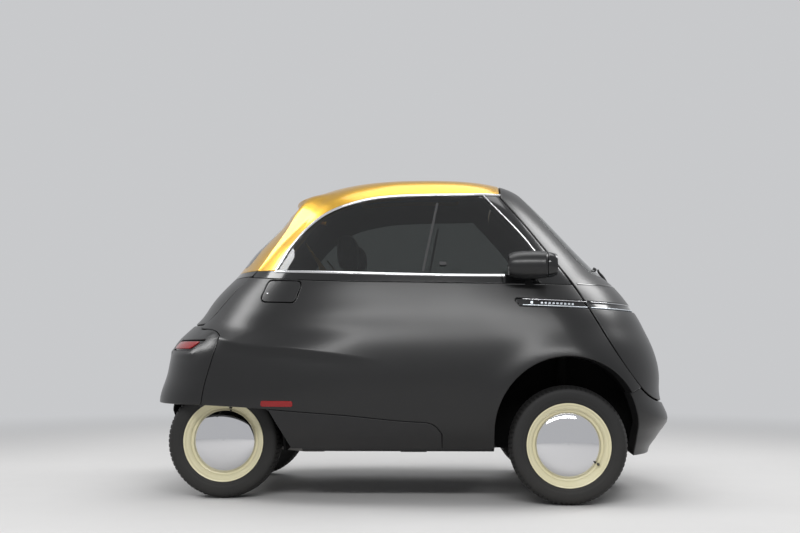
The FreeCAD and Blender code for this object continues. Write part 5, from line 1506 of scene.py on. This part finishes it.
# cabin: cushions filled by a cloth simulation, then seams, belts, posts, plinth and mat; lengths in metres
seatForm = dict(
    voxel=.006, pressure=4.0, frames=20, shrink=.012, grooveWidth=.006, groove=.006, pipe=.0032,
    cushion=dict(centre=(-.125, 0, .405), half=(.255, .540, .065), tilt=0, cap=.024, channels=(-.27, 0, .27),
                 across=(-.18, -.04, .08)),
    back=dict(centre=(-.3105, 0, .750), half=(.0525, .530, .280), tilt=-8.2, cap=.022,
              channels=(-.27, 0, .27), across=(-.16, -.02, .12)),
    head=dict(centre=(-.3225, .285, 1.147), half=(.0525, .125, .094), tilt=-3, cap=.010),
    post=dict(low=(-.336, .985), high=(-.325, 1.075), spread=.052, radius=.0065),
    plinth=dict(centre=(-.155, 0, .2955), half=(.245, .500, .0435)),
    strap=[(-.505, .470, 1.178), (-.470, .490, 1.128), (-.425, .525, 1.062), (-.375, .570, .95),
           (-.335, .590, .80), (-.310, .597, .62), (-.305, .597, .48)],
    strapSize=[(.0035, .0100), (.0100, .0060), (.0235, .0020), (.0240, .0014), (.0240, .0014), (.0240, .0014),
               (.0240, .0014)])


def superBlock(half, power=6.0, counts=(64, 40)):
    # superquadric: half size times a signed power of the sphere's cosines and sines in each direction
    around = np.linspace(0, 2 * math.pi, counts[0], endpoint=False)[:, None]
    up = np.linspace(-math.pi / 2, math.pi / 2, counts[1])[None]

    def signed(v):
        return np.sign(v) * np.abs(v) ** (2 / power)
    grid = np.stack([signed(np.cos(around)) * signed(np.cos(up)), signed(np.sin(around)) * signed(np.cos(up)),
                     signed(np.sin(up)) + 0 * around], -1)
    return grid * half


def tilted(points, centre, degrees, back=False):
    # turned about the line across the car through the centre, or turned back again
    c, s = math.cos(math.radians(degrees)), math.sin(math.radians(degrees))
    turn = np.array([[c, 0, s], [0, 1, 0], [-s, 0, c]])
    return (points - centre) @ turn if back else points @ turn.T + centre


def positions(mesh):
    found = np.empty(len(mesh.vertices) * 3)
    mesh.vertices.foreach_get("co", found)
    return found.reshape(-1, 3)


def evaluatedMesh(piece):
    return bpy.data.meshes.new_from_object(piece.evaluated_get(bpy.context.evaluated_depsgraph_get()))


def cushionPiece(name, form, finish, side=1, subdivide=False):
    centre = np.array(form["centre"]) * [1, side, 1]
    half = np.array(form["half"]) - seatForm["shrink"] * (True)
    grid = superBlock(half)
    points = np.concatenate([grid[:, 1:-1].reshape(-1, 3), grid[:1, 0], grid[:1, -1]])
    rows, columns = grid.shape[0], grid.shape[1] - 2
    i, j = np.meshgrid(np.arange(rows), np.arange(columns - 1), indexing="ij")
    n = (i + 1) % rows
    faces = np.stack([i * columns + j, n * columns + j, n * columns + j + 1, i * columns + j + 1],
                     -1).reshape(-1, 4).tolist()
    bottom, top, k = rows * columns, rows * columns + 1, np.arange(rows)
    faces += np.stack([(k + 1) % rows * columns, k * columns, bottom + 0 * k], -1).tolist()
    faces += np.stack([k * columns + columns - 1, (k + 1) % rows * columns + columns - 1, top + 0 * k],
                      -1).tolist()
    made = makeObject(name, tilted(points, centre, form["tilt"]), [tuple(f) for f in faces], True, (finish,))
    outwardFaces(made)
    remesh = made.modifiers.new("even", "REMESH")
    remesh.mode, remesh.voxel_size = "VOXEL", seatForm["voxel"]
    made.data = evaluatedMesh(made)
    made.modifiers.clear()
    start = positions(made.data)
    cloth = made.modifiers.new("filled", "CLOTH")
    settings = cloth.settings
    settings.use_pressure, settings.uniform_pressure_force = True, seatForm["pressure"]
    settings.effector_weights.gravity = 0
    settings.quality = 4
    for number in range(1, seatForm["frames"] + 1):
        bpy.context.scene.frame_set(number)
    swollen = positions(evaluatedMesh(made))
    made.modifiers.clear()
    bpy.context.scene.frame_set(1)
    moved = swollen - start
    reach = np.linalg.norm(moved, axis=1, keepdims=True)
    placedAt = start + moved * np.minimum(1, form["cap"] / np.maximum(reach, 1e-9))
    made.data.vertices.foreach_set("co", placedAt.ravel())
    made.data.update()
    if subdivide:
        made.modifiers.new("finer", "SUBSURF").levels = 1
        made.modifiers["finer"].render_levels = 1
        made.data = evaluatedMesh(made)
        made.modifiers.clear()
    sewChannels(made, form, centre)
    made.data.polygons.foreach_set("use_smooth", [True] * len(made.data.polygons))
    return made


def sewChannels(made, form, centre):
    # grooves sink the sitter's face by a bell curve of the distance from each sewn line
    if "channels" not in form:
        return
    place = tilted(positions(made.data), centre, form["tilt"], back=True)
    lying = form["half"][2] < form["half"][0]
    depthAxis, alongAxis = (2, 0) if lying else (0, 2)
    facing = smoothStep(place[:, depthAxis], 0, form["half"][depthAxis] * .6)
    sink = np.zeros(len(place))
    for lines, axis in ((form["channels"], 1), (form["across"], alongAxis)):
        for line in lines:
            sink = np.maximum(sink, np.exp(-((place[:, axis] - line) / seatForm["grooveWidth"]) ** 2))
    edge = (np.abs(place[:, 1]) / form["half"][1]) ** 8 + (np.abs(place[:,
            alongAxis]) / form["half"][alongAxis]) ** 8
    sink *= seatForm["groove"] * facing * smoothStep(-edge, -.9, -.3)
    place[:, depthAxis] -= sink
    made.data.vertices.foreach_set("co", tilted(place, centre, form["tilt"]).ravel())
    made.data.update()


placed(cushionPiece("cushion", seatForm["cushion"], "seat_cloth"), "chassis", "seat_cloth", "seat_cushion")
placed(cushionPiece("backrest", seatForm["back"], "seat_cloth"), "chassis", "seat_cloth", "seat_back")
plinth = seatForm["plinth"]
placed(tubeMesh("seatPlinth", superBlock(plinth["half"], 14, (64, 24)) + plinth["centre"], "inner_trim",
                closedAcross=False, closedAlong=True, capped=False),
       "chassis", "inner_trim")
for side, name in ((-1, "right"), (1, "left")):
    placed(cushionPiece("headrest_" + name, seatForm["head"], "seat_cloth", side, subdivide=True), "chassis",
           "seat_cloth")
    form = seatForm["post"]
    for k in (-1, 1):
        y = side * seatForm["head"]["centre"][1] + k * form["spread"]
        ends = np.array([(form["low"][0], y, form["low"][1]), (form["high"][0], y, form["high"][1])])
        path = ends[0] + (ends[1] - ends[0]) * np.linspace(0, 1, 6)[:, None]
        placed(tubeMesh("headPost_%s_%d" % (name, k > 0), armGrid(path, [(form["radius"],) * 2] * 2, 24, 8),
                        "bright_trim"), "chassis", "bright_trim")
    grid = armGrid(np.array(seatForm["strap"]) * [1, side, 1], seatForm["strapSize"], 24, 120)
    placed(tubeMesh("belt_" + name, grid, "gold_cloth"), "chassis", "gold_cloth")

# ribbed rubber mat on the floor in front of the seat
matForm = dict(front=.60, rear=.11, half=.37, low=.2505, thick=.004, rib=.0022, pitch=.018)
x, y = np.meshgrid(np.linspace(matForm["rear"], matForm["front"], 240),
                   np.linspace(-matForm["half"], matForm["half"], 30), indexing="ij")
inside = smoothStep(matForm["half"] - np.abs(y), .02,
                    .035) * smoothStep(np.minimum(x - matForm["rear"], matForm["front"] - x), .02, .03)
height = matForm["low"] + matForm["thick"] + matForm["rib"] * inside * smoothStep(np.sin(2 * math.pi * x
        / matForm["pitch"]), -.2, .3)
mat = makeObject("floorMat", np.stack([x, y, height], -1).reshape(-1, 3),
                 [(a, a + 30, a + 31, a + 1) for a in (np.arange(239)[:,
                         None] * 30 + np.arange(29)).ravel().tolist()], True, ("soft_rubber",))
thicken = mat.modifiers.new("thick", "SOLIDIFY")
thicken.thickness, thicken.offset = matForm["thick"] - .0005, -1
placed(mat, "chassis", "soft_rubber")
print("cabin built")

# floor, studio light and camera
stageForm = dict(floorColour=(.66, .655, .65), worldColour=(.85, .86, .88), worldStrength=.4,
                 shownStrength=.68, halfWidth=60.0, fade=(2.4, 7.0))
size = stageForm["halfWidth"]
floor = makeObject("floor", [(-size, -size, 0), (size, -size, 0), (size, size, 0), (-size, size, 0)],
                   [(0, 1, 2, 3)], False)
floorFinish = makeFinish("paleFloor",
                         dict(colour=stageForm["floorColour"], other=(.64, .635, .63), roughness=.8,
                              drift=.05, grain=(40, .05, .001)))
floor.data.materials.append(floorFinish)
tree = floorFinish.node_tree  # away from the car the floor fades into the world's colour
place = put(tree, "ShaderNodeTexCoord").outputs["Object"]
away = put(tree, "ShaderNodeVectorMath", {0: place}, {"operation": "LENGTH"}).outputs["Value"]
fade = put(tree, "ShaderNodeMapRange", {"Value": away}, {"interpolation_type": "SMOOTHSTEP"})
fade.inputs["From Min"].default_value, fade.inputs["From Max"].default_value = stageForm["fade"]
glow = put(tree, "ShaderNodeEmission", Color=(*stageForm["worldColour"], 1),
           Strength=stageForm["shownStrength"])
path = put(tree, "ShaderNodeLightPath").outputs
seen = mathNode(tree, "ADD", mathNode(tree, "ADD", path["Is Camera Ray"], path["Is Glossy Ray"]),
                path["Is Transmission Ray"], True)
blend = put(tree, "ShaderNodeMixShader",
        {0: mathNode(tree, "MULTIPLY", fade.outputs[0], seen), 1: tree.nodes["Principled BSDF"].outputs[0],
                                          2: glow.outputs[0]})
tree.links.new(blend.outputs[0], tree.nodes["Material Output"].inputs["Surface"])
world = bpy.data.worlds.new("studio")
bpy.context.scene.world = world
world.use_nodes = True
tree = world.node_tree
tree.nodes["Background"].inputs["Color"].default_value = (*stageForm["worldColour"], 1)
path = tree.nodes.new("ShaderNodeLightPath")
seen = mathNode(tree, "ADD",
                mathNode(tree, "ADD", path.outputs["Is Camera Ray"], path.outputs["Is Glossy Ray"]),
                path.outputs["Is Transmission Ray"], True)
shown = mathNode(tree, "ADD",
                 mathNode(tree, "MULTIPLY", seen, stageForm["shownStrength"] - stageForm["worldStrength"]),
                 stageForm["worldStrength"])
tree.links.new(shown, tree.nodes["Background"].inputs["Strength"])


def areaLamp(name, place, target, size, power):
    data = bpy.data.lights.new(name, "AREA")
    data.shape = "RECTANGLE"
    data.size, data.size_y = size
    data.energy = power
    lamp = bpy.data.objects.new(name, data)
    lamp.location = place
    lamp.rotation_euler = (Vector(target) - Vector(place)).to_track_quat("-Z", "Y").to_euler()
    bpy.context.scene.collection.objects.link(lamp)


# columns: name, place, target, width and height, power in watts
lampForms = [
    ("overhead", (0.2, -0.4, 3.8), (0, 0, .8), (3.4, 1.6), 48),
    ("sideKey", (0.1, -5.4, 3.5), (0, 0, .9), (4.6, .6), 160),
    ("frontKey", (3.4, .7, 3.8), (.6, -.3, 1.0), (1.6, 1.4), 75),
    ("rearKey", (-3.9, -.4, 3.4), (-.7, -.3, .9), (1.4, 1.4), 60),
    ("backFill", (-0.5, 4.2, 2.8), (0, 0, .8), (3.0, 1.6), 55)]
for form in lampForms:
    areaLamp(*form)
bpy.data.objects["backFill"].visible_glossy = False

cameraForm = dict(place=(.126, -5.4, .683), lens=47.5, up=4.5, pan=2.2)
camera = bpy.data.cameras.new("camera")
camera.lens, camera.sensor_width = cameraForm["lens"], 36
cameraObject = bpy.data.objects.new("camera", camera)
cameraObject.location = cameraForm["place"]
cameraObject.rotation_euler = Euler((math.radians(90 + cameraForm["up"]), 0, math.radians(cameraForm["pan"])),
                                    "XYZ")
bpy.context.scene.collection.objects.link(cameraObject)
bpy.context.scene.camera = cameraObject
bpy.context.scene.view_settings.view_transform = "Standard"
